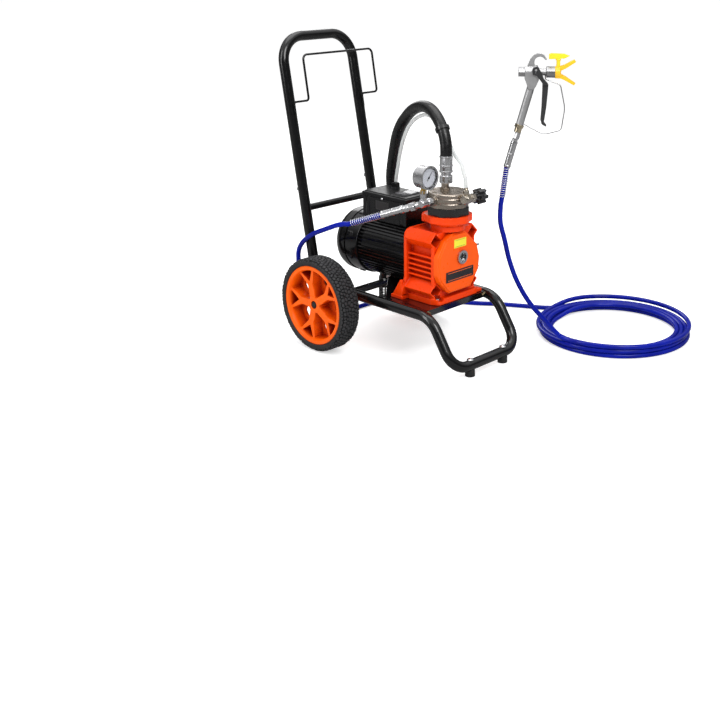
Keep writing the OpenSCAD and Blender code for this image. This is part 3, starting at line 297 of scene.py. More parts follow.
def tube_plastic():
    m = Mat("clear_tube")
    c = m.mix(m.range(m.noise(45, 3), 0.3, 0.7, 0, 1), (0.78, 0.80, 0.80), (0.88, 0.90, 0.89))
    m.put(Base_Color=c, Roughness=0.16, IOR=1.35, Alpha=m.range(m.noise(30, 2), 0.3, 0.7, 0.72, 0.86),
          Normal=m.bump(m.noise(400, 2), 0.05, 0.0002))
    m.b.inputs["Transmission Weight"].default_value = 0.35
    m.b.inputs["Subsurface Weight"].default_value = 0.0
    return m.m


def hose_blue():
    m = Mat("blue_hose")
    big = m.noise(14, 3)
    c = m.mix(m.range(big, 0.35, 0.65, 0, 1), (0.001, 0.006, 0.22), (0.002, 0.011, 0.32))
    weave = m.cells(520, feature="F1")
    c = m.mix(m.range(weave, 0.0, 0.6, 0.08, 0.0), c, (0.006, 0.02, 0.45))
    m.put(Base_Color=c, Roughness=m.range(m.noise(120, 3), 0.3, 0.7, 0.16, 0.24),
          Normal=m.bump(weave, 0.02, 0.0001))
    m.put(Coat_Weight=0.12, Coat_Roughness=0.06)
    m.b.inputs["Specular IOR Level"].default_value = 0.14
    return m.m


def label_dark():
    """plain dark plate with a thin warm border band, no lettering"""
    m = Mat("label_dark")
    soft, edge_highlight_weight = m.soft(0.0004)
    c = m.mix(m.range(m.noise(50, 3), 0.3, 0.7, 0, 1), (0.011, 0.011, 0.011), (0.018, 0.017, 0.016))
    m.put(Base_Color=c, Roughness=m.range(m.noise(140, 3), 0.3, 0.7, 0.26, 0.38), Normal=m.bump(m.noise(600, 2), 0.06, 0.0001, soft))
    return m.m


clear_tube = tube_plastic()
blue_hose = hose_blue()
label_black = label_dark()
label_stripe = paint("label_stripe", (0.80, 0.13, 0.02), 0.34, vary=0.08, radius=0)
label_yellow = paint("label_yellow", (0.86, 0.80, 0.035), 0.36, vary=0.05, peel=(500, 0.05, 0.0001), radius=0.0003)
label_ink = paint("label_ink", (0.28, 0.26, 0.03), 0.4, vary=0.1, radius=0)
plate_grey = paint("plate_grey", (0.018, 0.016, 0.016), 0.40, vary=0.3, peel=(900, 0.1, 0.0001), radius=0.0004)


# ------------------------------------------------------------------ mesh helpers
def make(name, verts, faces, mats, body, node=None, smooth=True, index=None, slot=None):
    """verts in metres, row frame"""
    me = bpy.data.meshes.new(name)
    me.from_pydata([tuple(map(float, v)) for v in verts], [], [tuple(map(int, f)) for f in faces])
    ob = bpy.data.objects.new(name, me)
    bpy.context.scene.collection.objects.link(ob)
    for m in mats if isinstance(mats, (list, tuple)) else [mats]:
        me.materials.append(m)
    if index is not None:
        me.polygons.foreach_set("material_index", np.asarray(index, np.int32))
    bm = bmesh.new()
    bm.from_mesh(me)
    bmesh.ops.recalc_face_normals(bm, faces=bm.faces)
    bm.to_mesh(me)
    bm.free()
    me.polygons.foreach_set("use_smooth", [smooth] * len(me.polygons))
    me.update()
    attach(ob, body)
    if node:
        for n in node if isinstance(node, (list, tuple)) else [node]:
            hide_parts(n)
            if slot is None:
                slot = SLOT[n]
    return ob


def split(ob, angle=35):
    es = ob.modifiers.new("split", "EDGE_SPLIT")
    es.split_angle = math.radians(angle)
    return ob


def unit(v):
    v = np.asarray(v, float)
    return v / np.linalg.norm(v)


def catmull(q, k):
    q = [np.array(p, float) for p in q]
    out = []
    for i in range(len(q) - 1):
        a = 2 * q[0] - q[1] if i == 0 else q[i - 1]
        b, c = q[i], q[i + 1]
        d = 2 * q[i + 1] - q[i] if i == len(q) - 2 else q[i + 2]
        for j in range(k):
            t = j / k
            out.append(0.5 * (2 * b + (c - a) * t + (2 * a - 5 * b + 4 * c - d) * t * t + (3 * b - a - 3 * c + d) * t ** 3))
    out.append(q[-1])
    return np.array(out)


def frames(pts):
    t = np.gradient(pts, axis=0)
    t /= np.linalg.norm(t, axis=1)[:, None]
    u = np.zeros_like(t)
    v0 = np.array([1.0, 0, 0]) if abs(t[0][2]) > 0.9 else np.array([0, 0, 1.0])
    for i in range(len(t)):
        v0 = v0 - (v0 @ t[i]) * t[i]
        v0 /= np.linalg.norm(v0)
        u[i] = v0
    return t, u, np.cross(t, u)


def tube(name, pts, r, sides, mat, body, node=None, hole=None, radius=None):
    """round tube along pts (mm); with hole, the ends are open rims of that inner radius"""
    pts = np.asarray(pts, float)
    t, u, v = frames(pts)
    n = len(pts)
    rr = np.full(n, r, float) if radius is None else radius
    a = np.arange(sides) * 2 * math.pi / sides
    ring = np.cos(a)[None, :, None] * u[:, None, :] + np.sin(a)[None, :, None] * v[:, None, :]
    V = (pts[:, None, :] + rr[:, None, None] * ring).reshape(-1, 3)
    F = [(i * sides + k, (i + 1) * sides + k, (i + 1) * sides + (k + 1) % sides, i * sides + (k + 1) % sides)
         for i in range(n - 1) for k in range(sides)]
    base = len(V)
    V = list(V)
    for end, i in ((0, 0), (1, n - 1)):
        if hole:
            dep = 6.0 * (1 if end == 0 else -1)
            inner = pts[i] + hole * ring[i]
            deep = inner + t[i] * dep
            s = len(V)
            V += list(inner) + list(deep) + [pts[i] + t[i] * dep]
            for k in range(sides):
                k2 = (k + 1) % sides
                F += [(i * sides + k, i * sides + k2, s + k2, s + k), (s + k, s + k2, s + sides + k2, s + sides + k),
                      (s + sides + k, s + sides + k2, s + 2 * sides)]
        else:
            s = len(V)
            V.append(pts[i] + t[i] * (-0.25 * rr[i] if end == 0 else 0.25 * rr[i]) * 0)
            F += [(i * sides + k, i * sides + (k + 1) % sides, s) for k in range(sides)]
    return make(name, M(np.array(V)), F, mat, body, node)


def turned(name, a, d, prof, mats, body, node=None, seg=48, index=None, slot=None, start=(0, 0, 1), angle=14):
    """solid of revolution with polygon or fluted stretches: prof is (t, r, kind) with kind 0 round, 6 hex, 8 fluted"""
    a, d = np.array(a, float), unit(d)
    u = np.array(start if abs(np.dot(start, d)) < 0.99 else (1, 0, 0), float)
    u = unit(u - (u @ d) * d)
    v = np.cross(d, u)
    ph = np.arange(seg) * 2 * math.pi / seg
    V = []
    for t, r, kind in prof:
        if kind == 0:
            R = np.full(seg, r)
        elif kind == 8:
            R = r + 0.30 * np.cos(8 * ph)
        else:
            w = 2 * math.pi / kind
            R = r * math.cos(w / 2) / np.cos((ph + w / 2) % w - w / 2)
        V += list(a + t * d + R[:, None] * (np.cos(ph)[:, None] * u + np.sin(ph)[:, None] * v))
    n = len(prof)
    F = [(i * seg + k, (i + 1) * seg + k, (i + 1) * seg + (k + 1) % seg, i * seg + (k + 1) % seg) for i in range(n - 1) for k in range(seg)]
    idx = [(index[i] if index else 0) for i in range(n - 1) for _ in range(seg)]
    for i in (0, n - 1):
        V.append(a + prof[i][0] * d)
        F += [(i * seg + k, i * seg + (k + 1) % seg, len(V) - 1) for k in range(seg)]
        idx += [(index[min(i, n - 2)] if index else 0)] * seg
    return split(make(name, M(np.array(V)), F, mats, body, node, index=idx, slot=slot), angle)


def cast(node, voxel, rounds, mat, keep=0.35, name=None):
    """cast or moulded part: the CAD solid re-skinned finely and relaxed, so that its edges and inside corners are rounded"""
    src = NODES[node]
    ob = bpy.data.objects.new(name or node + "_skin", src.data.copy())
    bpy.context.scene.collection.objects.link(ob)
    a = ob.data.attributes.get("custom_normal")
    if a:
        ob.data.attributes.remove(a)
    rm = ob.modifiers.new("remesh", "REMESH")
    rm.mode, rm.voxel_size, rm.use_smooth_shade = "VOXEL", voxel * 0.001, True
    sm = ob.modifiers.new("relax", "SMOOTH")
    sm.factor, sm.iterations = 0.5, rounds
    if keep < 1:
        de = ob.modifiers.new("thin", "DECIMATE")
        de.ratio = keep
    bpy.context.view_layer.update()
    dg = bpy.context.evaluated_depsgraph_get()
    me = bpy.data.meshes.new_from_object(ob.evaluated_get(dg))
    ob.modifiers.clear()
    ob.data = me
    me.materials.clear()
    me.materials.append(mat)
    me.polygons.foreach_set("use_smooth", [True] * len(me.polygons))
    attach(ob, BODY[node])
    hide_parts(node)
    return ob


def dress(node, mat, angle=32):
    """CAD node kept as it is, with its finish and crisp shading"""
    o = NODES[node]
    a = o.data.attributes.get("custom_normal")
    if a:
        o.data.attributes.remove(a)
    o.data.materials.clear()
    o.data.materials.append(mat)
    o.data.polygons.foreach_set("material_index", [0] * len(o.data.polygons))
    o.data.polygons.foreach_set("use_smooth", [True] * len(o.data.polygons))
    for e in ("sharp_edge", "sharp_face"):
        if o.data.attributes.get(e):
            o.data.attributes.remove(o.data.attributes[e])
    wl = o.modifiers.new("weld", "WELD")
    wl.merge_threshold = 0.00001
    split(o, angle)
    wn = o.modifiers.new("normals", "WEIGHTED_NORMAL")
    wn.keep_sharp = True
    return o


# ------------------------------------------------------------------ CAD nodes kept
for n, m in {
    "base_frame": frame_paint, "deck_plate": deck_paint, "axle": dark_steel, "axle_clips": dark_steel,
    "handle_frame": frame_paint, "hose_hook": frame_paint, "frame_bolts": chrome, "rubber_feet": foot_rubber,
    "motor_housing": motor_paint, "fan_cowl": motor_paint, "stator": winding,
    "sight_lens": glass, "pump_bolts": bolt_steel, "diaphragm": foot_rubber, "piston": shaft_steel, "piston_spring": shaft_steel,
    "inlet_adapter": head_steel, "check_balls": chrome, "gauge_case": chrome,
    "gauge_needle": dial_ring, "gauge_glass": glass, "strainer": black_plastic,
    "rotor": shaft_steel, "cooling_fan": black_plastic, "gun_needle": bolt_steel,
    "trigger_guard": guard_wire, "gun_swivel": brass, "tip_nut": cap_steel, "gun_cap": cap_steel, "sight_bezel": chrome,
    "spacer_ring": black_plastic, "hose_clip": black_plastic,
}.items():
    dress(n, m)

# ------------------------------------------------------------------ cast and moulded parts
cast("pump_housing", 1.0, 2, orange, 0.30)
cast("front_cover", 1.1, 6, orange_lit_front, 0.35)
cast("pump_collar", 1.0, 4, orange, 0.4)
cast("rear_bell", 1.2, 4, motor_paint, 0.35)
cast("terminal_box", 1.5, 4, box_paint, 0.3)
cast("terminal_lid", 1.1, 4, lid_paint, 0.3)
cast("power_switch", 0.7, 5, switch_mat, 0.4)
cast("paint_head", 0.75, 2, head_steel, 0.35)
cast("gun_body", 0.6, 5, gun_alloy, 0.5)
cast("trigger", 0.7, 4, dark_coat, 0.5)
cast("tip_guard", 0.6, 4, guard_yellow, 0.5)
cast("spray_tip", 0.5, 4, tip_yellow, 0.5)
cast("prime_knob", 0.6, 6, knob_plastic, 0.5)


# ------------------------------------------------------------------ wheels
def smoothstep(x):
    x = np.clip(x, 0, 1)
    return x * x * (3 - 2 * x)


def seg_dist(px, py, ax, ay, bx, by):
    dx, dy = bx - ax, by - ay
    t = np.clip(((px - ax) * dx + (py - ay) * dy) / (dx * dx + dy * dy), 0, 1)
    return np.hypot(px - ax - t * dx, py - ay - t * dy), t


def rim(side, name, node, cy):
    """moulded wheel centre: five forked spokes over a web with windows. side is -1 for the right wheel, whose outer face looks to -Y"""
    R = np.concatenate([np.linspace(7.7, 90, 82), np.linspace(90.8, 97, 9), np.linspace(98, 106.5, 8)])
    T = np.radians(np.arange(0, 360, 0.9))
    r, t = np.meshgrid(R, T, indexing="ij")
    x, z = r * np.cos(t), r * np.sin(t)
    spoke = np.zeros_like(r)
    for k in range(5):
        f = -math.radians(36 + 72 * k)
        c, s = math.cos(f), math.sin(f)
        X, Z = x * c + z * s, -x * s + z * c
        d, q = seg_dist(X, Z, 12, 0, 52, 0)
        spoke = np.maximum(spoke, smoothstep((11.2 - 1.6 * q + 1.4 - d) / 1.8))
        for b in (-1, 1):
            e = math.radians(33) * b
            ex, ez = 52 + 46 * math.cos(e), 46 * math.sin(e)
            d, q = seg_dist(X, Z, 52, 0, ex, ez)
            spoke = np.maximum(spoke, smoothstep((7.6 - 3.4 * q + 1.4 - d) / 1.8))
    ringm = smoothstep((r - 91.6) / 2.2)
    hub = smoothstep((24.0 - r) / 3.0)
    dish = 20.2 - 2.0 * np.sin(np.clip((r - 20) / 73, 0, 1) * math.pi)
    lip = 22 + 6 * smoothstep((r - 93) / 4.5) - 0.8 * smoothstep((r - 104.5) / 2.0)
    fillet = -8.0 + 1.0 * smoothstep((34 - r) / 8)
    outer = fillet + (dish - fillet) * spoke
    outer = outer + (lip - outer) * ringm
    outer = outer + (21.4 - outer) * hub
    inner = 13.0 + (dish - 13.0) * spoke
    inner = inner + (lip - inner) * ringm
    inner = inner + (34.4 - inner) * hub
    bore = smoothstep((10.6 - r) / 0.5)
    outer = outer - (21.4 - 11.5) * bore
    nr, nt = r.shape
    gone = np.zeros((nr - 1, nt), bool)
    T2 = T + math.radians(0.45)
    rc, tc = np.meshgrid((R[:-1] + R[1:]) / 2, T2, indexing="ij")
    xc, zc = rc * np.cos(tc), rc * np.sin(tc)
    holes = []
    for k in range(5):
        f = -math.radians(36 + 72 * k)
        g = f - math.radians(36)
        holes.append((65 * math.cos(g), 65 * math.sin(g), 15.0))
    for hx, hz, hr in holes:
        gone |= np.hypot(xc - hx, zc - hz) < hr
    # pull the window edges onto true circles
    alive = ~gone
    edge = np.zeros((nr, nt), bool)
    for di in (0, 1):
        for dj in (0, 1):
            edge[di:nr - 1 + di] |= False
    touch_gone = np.zeros((nr, nt), bool)
    touch_live = np.zeros((nr, nt), bool)
    for di in (0, 1):
        for dj in (0, 1):
            sh = np.roll(gone, dj, axis=1)
            touch_gone[di:nr - 1 + di] |= sh
            sh = np.roll(alive, dj, axis=1)
            touch_live[di:nr - 1 + di] |= sh
    edge = touch_gone & touch_live
    for hx, hz, hr in holes:
        d = np.hypot(x - hx, z - hz)
        near = edge & (d < hr + 3)
        x = np.where(near, hx + (x - hx) * hr / np.maximum(d, 1e-6), x)
        z = np.where(near, hz + (z - hz) * hr / np.maximum(d, 1e-6), z)
    mx = 1 if side < 0 else -1

    def pts(h, sgn):
        return np.stack([mx * x, cy + side * sgn * h, z + 127.0], -1).reshape(-1, 3)

    V = np.concatenate([pts(outer, 1), pts(inner, -1)])
    N = nr * nt
    idx = lambda i, j: i * nt + j % nt
    F = []
    live = np.argwhere(alive)
    for i, j in live:
        a, b, c, d = idx(i, j), idx(i + 1, j), idx(i + 1, j + 1), idx(i, j + 1)
        F.append((a, b, c, d))
        F.append((N + a, N + d, N + c, N + b))
        if i == 0:
            F.append((a, d, N + d, N + a))
        elif gone[i - 1, j]:
            F.append((a, d, N + d, N + a))
        if i + 1 < nr - 1 and gone[i + 1, j]:
            F.append((b, N + b, N + c, c))
        if gone[i, (j - 1) % nt]:
            F.append((a, N + a, N + b, b))
        if gone[i, (j + 1) % nt]:
            F.append((d, c, N + c, N + d))
    # outside channel that carries the tyre
    V = list(V)
    prof = [(106.6, 24.2), (102.0, 23.0), (102.0, -23.0), (106.6, -24.2)]
    s = len(V)
    for pr, ps in prof:
        V += list(np.stack([mx * pr * np.cos(T), np.full(nt, cy + side * ps), pr * np.sin(T) + 127.0], -1))
    for j in range(nt):
        j2 = (j + 1) % nt
        F.append((idx(nr - 1, j), idx(nr - 1, j2), s + j2, s + j))
        for k in range(3):
            F.append((s + k * nt + j, s + k * nt + j2, s + (k + 1) * nt + j2, s + (k + 1) * nt + j))
        F.append((s + 3 * nt + j, s + 3 * nt + j2, N + idx(nr - 1, j2), N + idx(nr - 1, j)))
    return split(make(name, M(np.array(V)), F, wheel_orange, BODY[node], node), 58)


def tyre(side, name, node, cy, seed):
    """solid rubber tyre with a random block tread that runs over the shoulders"""
    half = [(106.9, 24.2), (107.2, 27.0), (108.2, 29.4), (110.0, 30.4), (113.0, 30.6), (114.2, 30.0), (115.4, 30.4), (119.5, 30.3), (122.6, 28.9), (125.2, 26.0), (126.6, 22.0), (126.9, 17.0), (126.95, 10.0), (126.95, 0.0)]
    p = np.array(half + [(a, -b) for a, b in half[-2::-1]])
    s = np.concatenate([[0], np.cumsum(np.hypot(*np.diff(p, axis=0).T))])
    n = int(s[-1] / 1.25)
    q = np.linspace(0, s[-1], n)
    pr, ps = np.interp(q, s, p[:, 0]), np.interp(q, s, p[:, 1])
    k = np.array([1, 2, 1]) / 4
    pr[1:-1], ps[1:-1] = np.convolve(pr, k, "valid"), np.convolve(ps, k, "valid")
    nt = 600
    T = np.arange(nt) * 2 * math.pi / nt
    rng = np.random.default_rng(seed)
    L, W = 2 * math.pi * 127, s[-1]
    du, dv = 11.0, 9.4
    su, sv = np.meshgrid(np.arange(int(L / du)) * (L / int(L / du)), np.arange(-1, int(W / dv) + 2) * dv, indexing="ij")
    su = su + (np.arange(su.shape[1]) % 2)[None, :] * du / 2
    su, sv = su + rng.uniform(-0.36, 0.36, su.shape) * du, sv + rng.uniform(-0.34, 0.34, su.shape) * dv
    seeds = np.stack([su.ravel() % L, sv.ravel()], 1)
    tall = rng.uniform(-0.6, 0.2, len(seeds))
    U = T * 127
    H = np.zeros((n, nt))
    for i in range(n):
        near = np.abs(seeds[:, 1] - q[i]) < 20
        sd, th = seeds[near], tall[near]
        d = np.abs(U[:, None] - sd[None, :, 0])
        d = np.minimum(d, L - d)
        d = np.hypot(d, q[i] - sd[None, :, 1])
        o = np.argsort(d, 1)[:, :2]
        f1, f2 = np.take_along_axis(d, o[:, :1], 1)[:, 0], np.take_along_axis(d, o[:, 1:2], 1)[:, 0]
        g = smoothstep((f2 - f1 - 1.1) / 1.9)
        H[i] = -3.3 * (1 - g) + g * th[o[:, 0]]
    H = np.minimum(H, 0.0) * smoothstep((pr - 117.0) / 3.0)[:, None]
    nr = np.gradient(ps, q)
    ns = -np.gradient(pr, q)
    ln = np.hypot(nr, ns)
    nr, ns = -nr / ln, -ns / ln
    if nr[n // 2] < 0:
        nr, ns = -nr, -ns
    RR = pr[:, None] + H * nr[:, None]
    SS = ps[:, None] + H * ns[:, None]
    V = np.stack([RR * np.cos(T), cy + SS, RR * np.sin(T) + 127.0], -1).reshape(-1, 3)
    V = list(V)
    F = [(i * nt + j, (i + 1) * nt + j, (i + 1) * nt + (j + 1) % nt, i * nt + (j + 1) % nt) for i in range(n - 1) for j in range(nt)]
    b = len(V)
    for br, bs in ((102.15, -22.7), (102.15, 22.7)):
        V += list(np.stack([br * np.cos(T), np.full(nt, cy + bs), br * np.sin(T) + 127.0], -1))
    for j in range(nt):
        j2 = (j + 1) % nt
        F += [((n - 1) * nt + j, (n - 1) * nt + j2, b + j2, b + j), (b + j, b + j2, b + nt + j2, b + nt + j), (b + nt + j, b + nt + j2, j2, j)]
    ob = make(name, M(np.array(V)), F, tyre_rubber, BODY[node], node)
    # how far down each point lies in the tread; the material darkens the grooves with it as painted shade
    deep = np.full(len(V), 0.45)
    tread = smoothstep((pr - 117.0) / 3.0)[:, None] > 0.5
    deep[:n * nt] = np.where(tread, np.clip(-H / 3.0, 0, 1), 0.45).ravel()
    ob.data.attributes.new("deep", "FLOAT", "POINT").data.foreach_set("value", deep.astype(np.float32))
    return split(ob, 50)


CY = 192.5
rim(-1, "wheel_centre_right", "rim_right", -CY)
rim(1, "wheel_centre_left", "rim_left", CY)
tyre(-1, "block_tyre_right", "tyre_right", -CY, 3)
tyre(1, "block_tyre_left", "tyre_left", CY, 8)

# ------------------------------------------------------------------ hoses
TEE = np.array([280.0, -88.0, 429.0])
HD = unit([-97, -30, -37])
GA, GR = math.radians(40.77), math.radians(15.4)
UP = np.array([math.sin(GR) * math.cos(GA), math.sin(GR) * math.sin(GA), math.cos(GR)])


def grip_pt(t):
    u = 19 - math.sin(GR) * t
    return np.array([395 + u * math.cos(GA), 165 + u * math.sin(GA), 720 - math.cos(GR) * t])


FIT_A = TEE + 22.5 * HD
FIT_B = FIT_A + 104 * HD
FIT_C = FIT_B + 96 * HD
GF_A = grip_pt(130.4)
GF_B = GF_A - 96 * UP
HANG = np.array([math.sin(math.radians(7.7)) * math.cos(GA), math.sin(math.radians(7.7)) * math.sin(GA), math.cos(math.radians(7.7))])
GF_C = GF_B - 84 * HANG
HR = 6.5


def coil_rad(n):
    return 213.2 - 13.4 * n if n < 3 else 173 + 13.4 * (n - 3) if n < 6 else 213.2 - 6 * (n - 6)


def step(n, m):
    t = max(0.0, min(1.0, (n - m) / 0.12))
    return t * t * (3 - 2 * t)


def coil_pts():
    out = []
    for i in range(201):
        n = i / 30
        if n > 6.68:
            break
        a = math.radians(150 - 360 * n)
        out.append([505 + coil_rad(n) * math.cos(a), 452 + coil_rad(n) * math.sin(a), HR + 13.2 * (step(n, 2.88) + step(n, 5.88))])
    return out


LEAD_IN = [FIT_B - 60 * HD, FIT_B, FIT_C, [58, -154.2, 348.5], [31, -156.6, 340], [-11.5, -157.4, 322], [-60.8, -156.6, 300], [-100.3, -154.5, 275],
           [-123, -152.5, 252], [-133, -151, 231], [-134.5, -150, 205], [-138, -147.5, 150], [-146, -128, 52], [-152, -90, 17], [-156, -30, HR + 1], [-160, 60, HR + 0.2], [-158, 150, HR], [-150, 208, HR],
           [-110, 256, HR], [-40, 300, HR], [57, 349, HR], [130, 400, HR], [200, 440, HR], [250, 468, HR], [290, 508, HR], [320.4, 558.6, HR]]
LEAD_OUT = [[487, 242, 33], [472, 231, 47], [457, 218, 68], [441, 204.5, 92], [421.7, 188, 120], [402.6, 171.6, 157], [385, 156.3, 203], [371.5, 144.7, 254], [362.5, 137, 304],
            GF_C - 66 * HANG + [4.5, 4, 0], GF_C - 22 * HANG, GF_C, GF_B - 5 * UP, GF_B - 1.5 * UP, GF_B + 44 * UP]
_path = [list(map(float, p)) for p in LEAD_IN] + coil_pts()[1:-1] + [list(map(float, p)) for p in LEAD_OUT]
tube("spray_hose_line", catmull(_path, 4), HR, 20, blue_hose, BODY["spray_hose"], "spray_hose")
SUCTION = [[272, 5, 502], [272, 5, 545], [268, 7, 572], [256, 10, 600], [228, 19, 628], [194, 29, 646], [153, 41, 648], [108, 54, 633],
           [72, 65, 609], [42, 73, 580], [20, 79, 545], [4, 84, 500], [-11, 89, 442], [-16, 94, 400], [-19, 107, 345], [-22, 112.5, 300], [-26, 113, 262], [-31, 110, 222], [-38, 97, 175], [-42, 91.5, 142], [-42, 91, 106]]
tube("suction_hose_line", catmull(SUCTION, 10), 15.5, 40, hose_rubber, BODY["suction_hose"], "suction_hose", hole=11.5)
RETURN = [[343.5, 2, 466], [342, 2, 486], [333, 4, 502], [316, 14, 520], [273, 32, 541], [240, 45, 574], [213, 47, 603], [186, 50, 619], [164, 52, 624], [145, 53, 622],
          [114, 58, 609], [86, 60, 585], [64, 62, 549], [48, 65, 510], [36, 67, 465], [25, 70, 415], [19, 82, 350], [15, 97.5, 305], [12, 102, 263], [7, 98, 220], [-4, 85, 170], [-12, 75, 140], [-16, 72, 112]]
tube("return_hose_line", catmull(RETURN, 8), 5.0, 20, clear_tube, BODY["return_hose"], "return_hose", hole=3.6)


def spring(name, a, b, n, mat):
    a, b = np.array(a, float), np.array(b, float)
    d = unit(b - a)
    u = np.array([0, 1.0, 0])
    u = unit(u - (u @ d) * d)
    v = np.cross(d, u)
    L = np.linalg.norm(b - a)
    th = np.radians(np.arange(0, 360 * n + 1, 12))
    pts = a + np.outer(2.6 + (L - 4) * th / (2 * math.pi * n), d) + (HR + 1.9) * (np.cos(th)[:, None] * u + np.sin(th)[:, None] * v)
    return tube(name, pts, 0.85, 8, mat, "cart")


g1 = spring("hose_guard_pump", FIT_B, FIT_C, 15, coil_wire)
g2 = spring("hose_guard_gun", GF_B, GF_C, 14, coil_wire)
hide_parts("hose_guards")

f1 = turned("hose_fitting_pump", FIT_A, HD, [
    (0.2, 9.4, 0), (0.2, 10.6, 0), (1.4, 12.0, 6), (14.4, 12.0, 6), (15.6, 10.4, 0), (17.0, 8.4, 0), (20.0, 8.4, 0), (20.6, 9.6, 6), (21.4, 10.2, 6), (33.0, 10.2, 6), (34.0, 9.2, 0),
    (36.0, 9.0, 0), (37.5, 10.0, 0), (41.0, 10.5, 0), (42.5, 10.5, 0), (43.5, 9.9, 0), (66.0, 9.7, 0), (67.0, 10.2, 0), (70.0, 10.2, 0), (71.0, 9.7, 0), (97.0, 9.8, 0), (98.2, 10.5, 0), (102.6, 10.5, 0), (103.8, 9.6, 0), (103.8, 6.7, 0)],
    chrome, "cart", "hose_fittings")
f2 = turned("hose_fitting_gun", GF_A, -UP, [
    (0.2, 8.4, 0), (0.2, 9.8, 0), (1.4, 11.0, 6), (16.4, 11.0, 6), (17.6, 9.2, 0), (19.0, 7.4, 0), (24.0, 7.4, 0), (25.2, 8.9, 0), (29.0, 9.5, 0), (31.0, 9.5, 0), (32.0, 9.0, 0), (58.0, 8.9, 0), (59.0, 9.3, 0), (62.0, 9.3, 0), (63.0, 8.9, 0),
    (90.0, 8.9, 0), (91.2, 9.5, 0), (94.6, 9.5, 0), (95.8, 8.7, 0), (95.8, 6.7, 0)], chrome, "cart", slot=SLOT["hose_fittings"])

# ------------------------------------------------------------------ outlet tee: nipple and run, gauge branch, hose branch
turned("tee_run", [280, -38.2, 429], [0, -1, 0], [
    (0.2, 6.8, 0), (1.0, 7.8, 0), (20.5, 7.8, 0), (21.5, 9.6, 0), (22.6, 10.9, 6), (33.0, 10.9, 6), (34.2, 9.4, 0), (36.0, 8.4, 0), (39.0, 8.4, 0), (41.0, 9.8, 0), (42.5, 10.4, 0),
    (58.0, 10.4, 0), (59.6, 9.6, 0), (60.6, 8.0, 0)], chrome, "cart", "outlet_tee")
turned("tee_gauge_branch", TEE, [0, 0, 1], [
    (4.0, 7.6, 0), (9.0, 8.2, 0), (12.0, 8.3, 0), (13.0, 7.4, 0), (15.5, 7.4, 0), (16.4, 8.4, 0), (25.0, 8.4, 0), (25.8, 7.6, 0)], chrome, "cart", slot=SLOT["outlet_tee"])
turned("tee_hose_branch", TEE, HD, [
    (3.0, 7.6, 0), (10.0, 8.3, 0), (17.5, 8.3, 0), (18.3, 7.2, 0), (22.0, 7.2, 0)], chrome, "cart", slot=SLOT["outlet_tee"])

turned("suction_nut_and_sleeve", [272, 5, 467], [0, 0, 1], [
    (0.2, 14.5, 0), (0.2, 16.2, 0), (1.4, 17.2, 16), (18.6, 17.2, 16), (19.8, 15.8, 0), (20.4, 12.8, 0), (26.4, 12.8, 0), (27.0, 15.6, 0), (28.0, 17.4, 0), (31.5, 17.4, 0), (32.4, 16.7, 16), (43.0, 16.7, 16),
    (43.8, 17.5, 0), (46.4, 17.5, 0), (47.2, 16.7, 16), (66.0, 16.8, 16), (66.8, 17.5, 0), (69.6, 17.5, 0), (70.4, 16.9, 0), (70.4, 15.7, 0)], chrome, "cart", "suction_coupling", seg=64)
turned("valve_body", [347.5, -12, 436], [0, 1, 0], [
    (0.0, 6.0, 0), (0.0, 10.4, 0), (1.2, 11.6, 0), (5.6, 11.6, 0), (6.6, 10.2, 0), (7.6, 10.2, 0), (8.6, 12.4, 6), (21.4, 12.4, 6), (22.6, 10.4, 0), (24.0, 9.6, 0), (26.6, 9.6, 0), (27.6, 12.2, 6), (38.8, 12.2, 6), (40.0, 10.2, 0)],
    valve_steel, "cart", "prime_valve")
turned("valve_foot", [338.6, 1.5, 436], [1, 0, 0], [(0.0, 11.4, 0), (1.0, 12.2, 0), (3.0, 12.2, 0), (4.0, 9.6, 0), (9.0, 9.6, 0)], valve_steel, "cart", slot=SLOT["prime_valve"])
turned("valve_barb", [344.6, 2, 443], [0, 0, 1], [
    (0.0, 7.0, 0), (4.4, 7.0, 0), (5.2, 8.0, 6), (14.4, 8.0, 6), (15.4, 6.6, 0), (16.4, 4.6, 0), (17.6, 4.6, 0), (18.4, 5.7, 0), (20.4, 4.6, 0), (21.0, 5.7, 0), (22.4, 4.6, 0)], valve_steel, "cart", slot=SLOT["prime_valve"])
turned("gauge_stem_nut", [280, -88, 455.3], [0, 0, 1], [
    (0.0, 8.2, 0), (0.8, 9.12, 6), (7.2, 9.12, 6), (8.1, 8.0, 0), (8.1, 6.06, 0), (13.5, 6.06, 0)], stem_brass, "cart", slot=SLOT["gauge_case"])

# ------------------------------------------------------------------ gauge face
GX, GY, GZ = 304.0, -88.0, 498.0


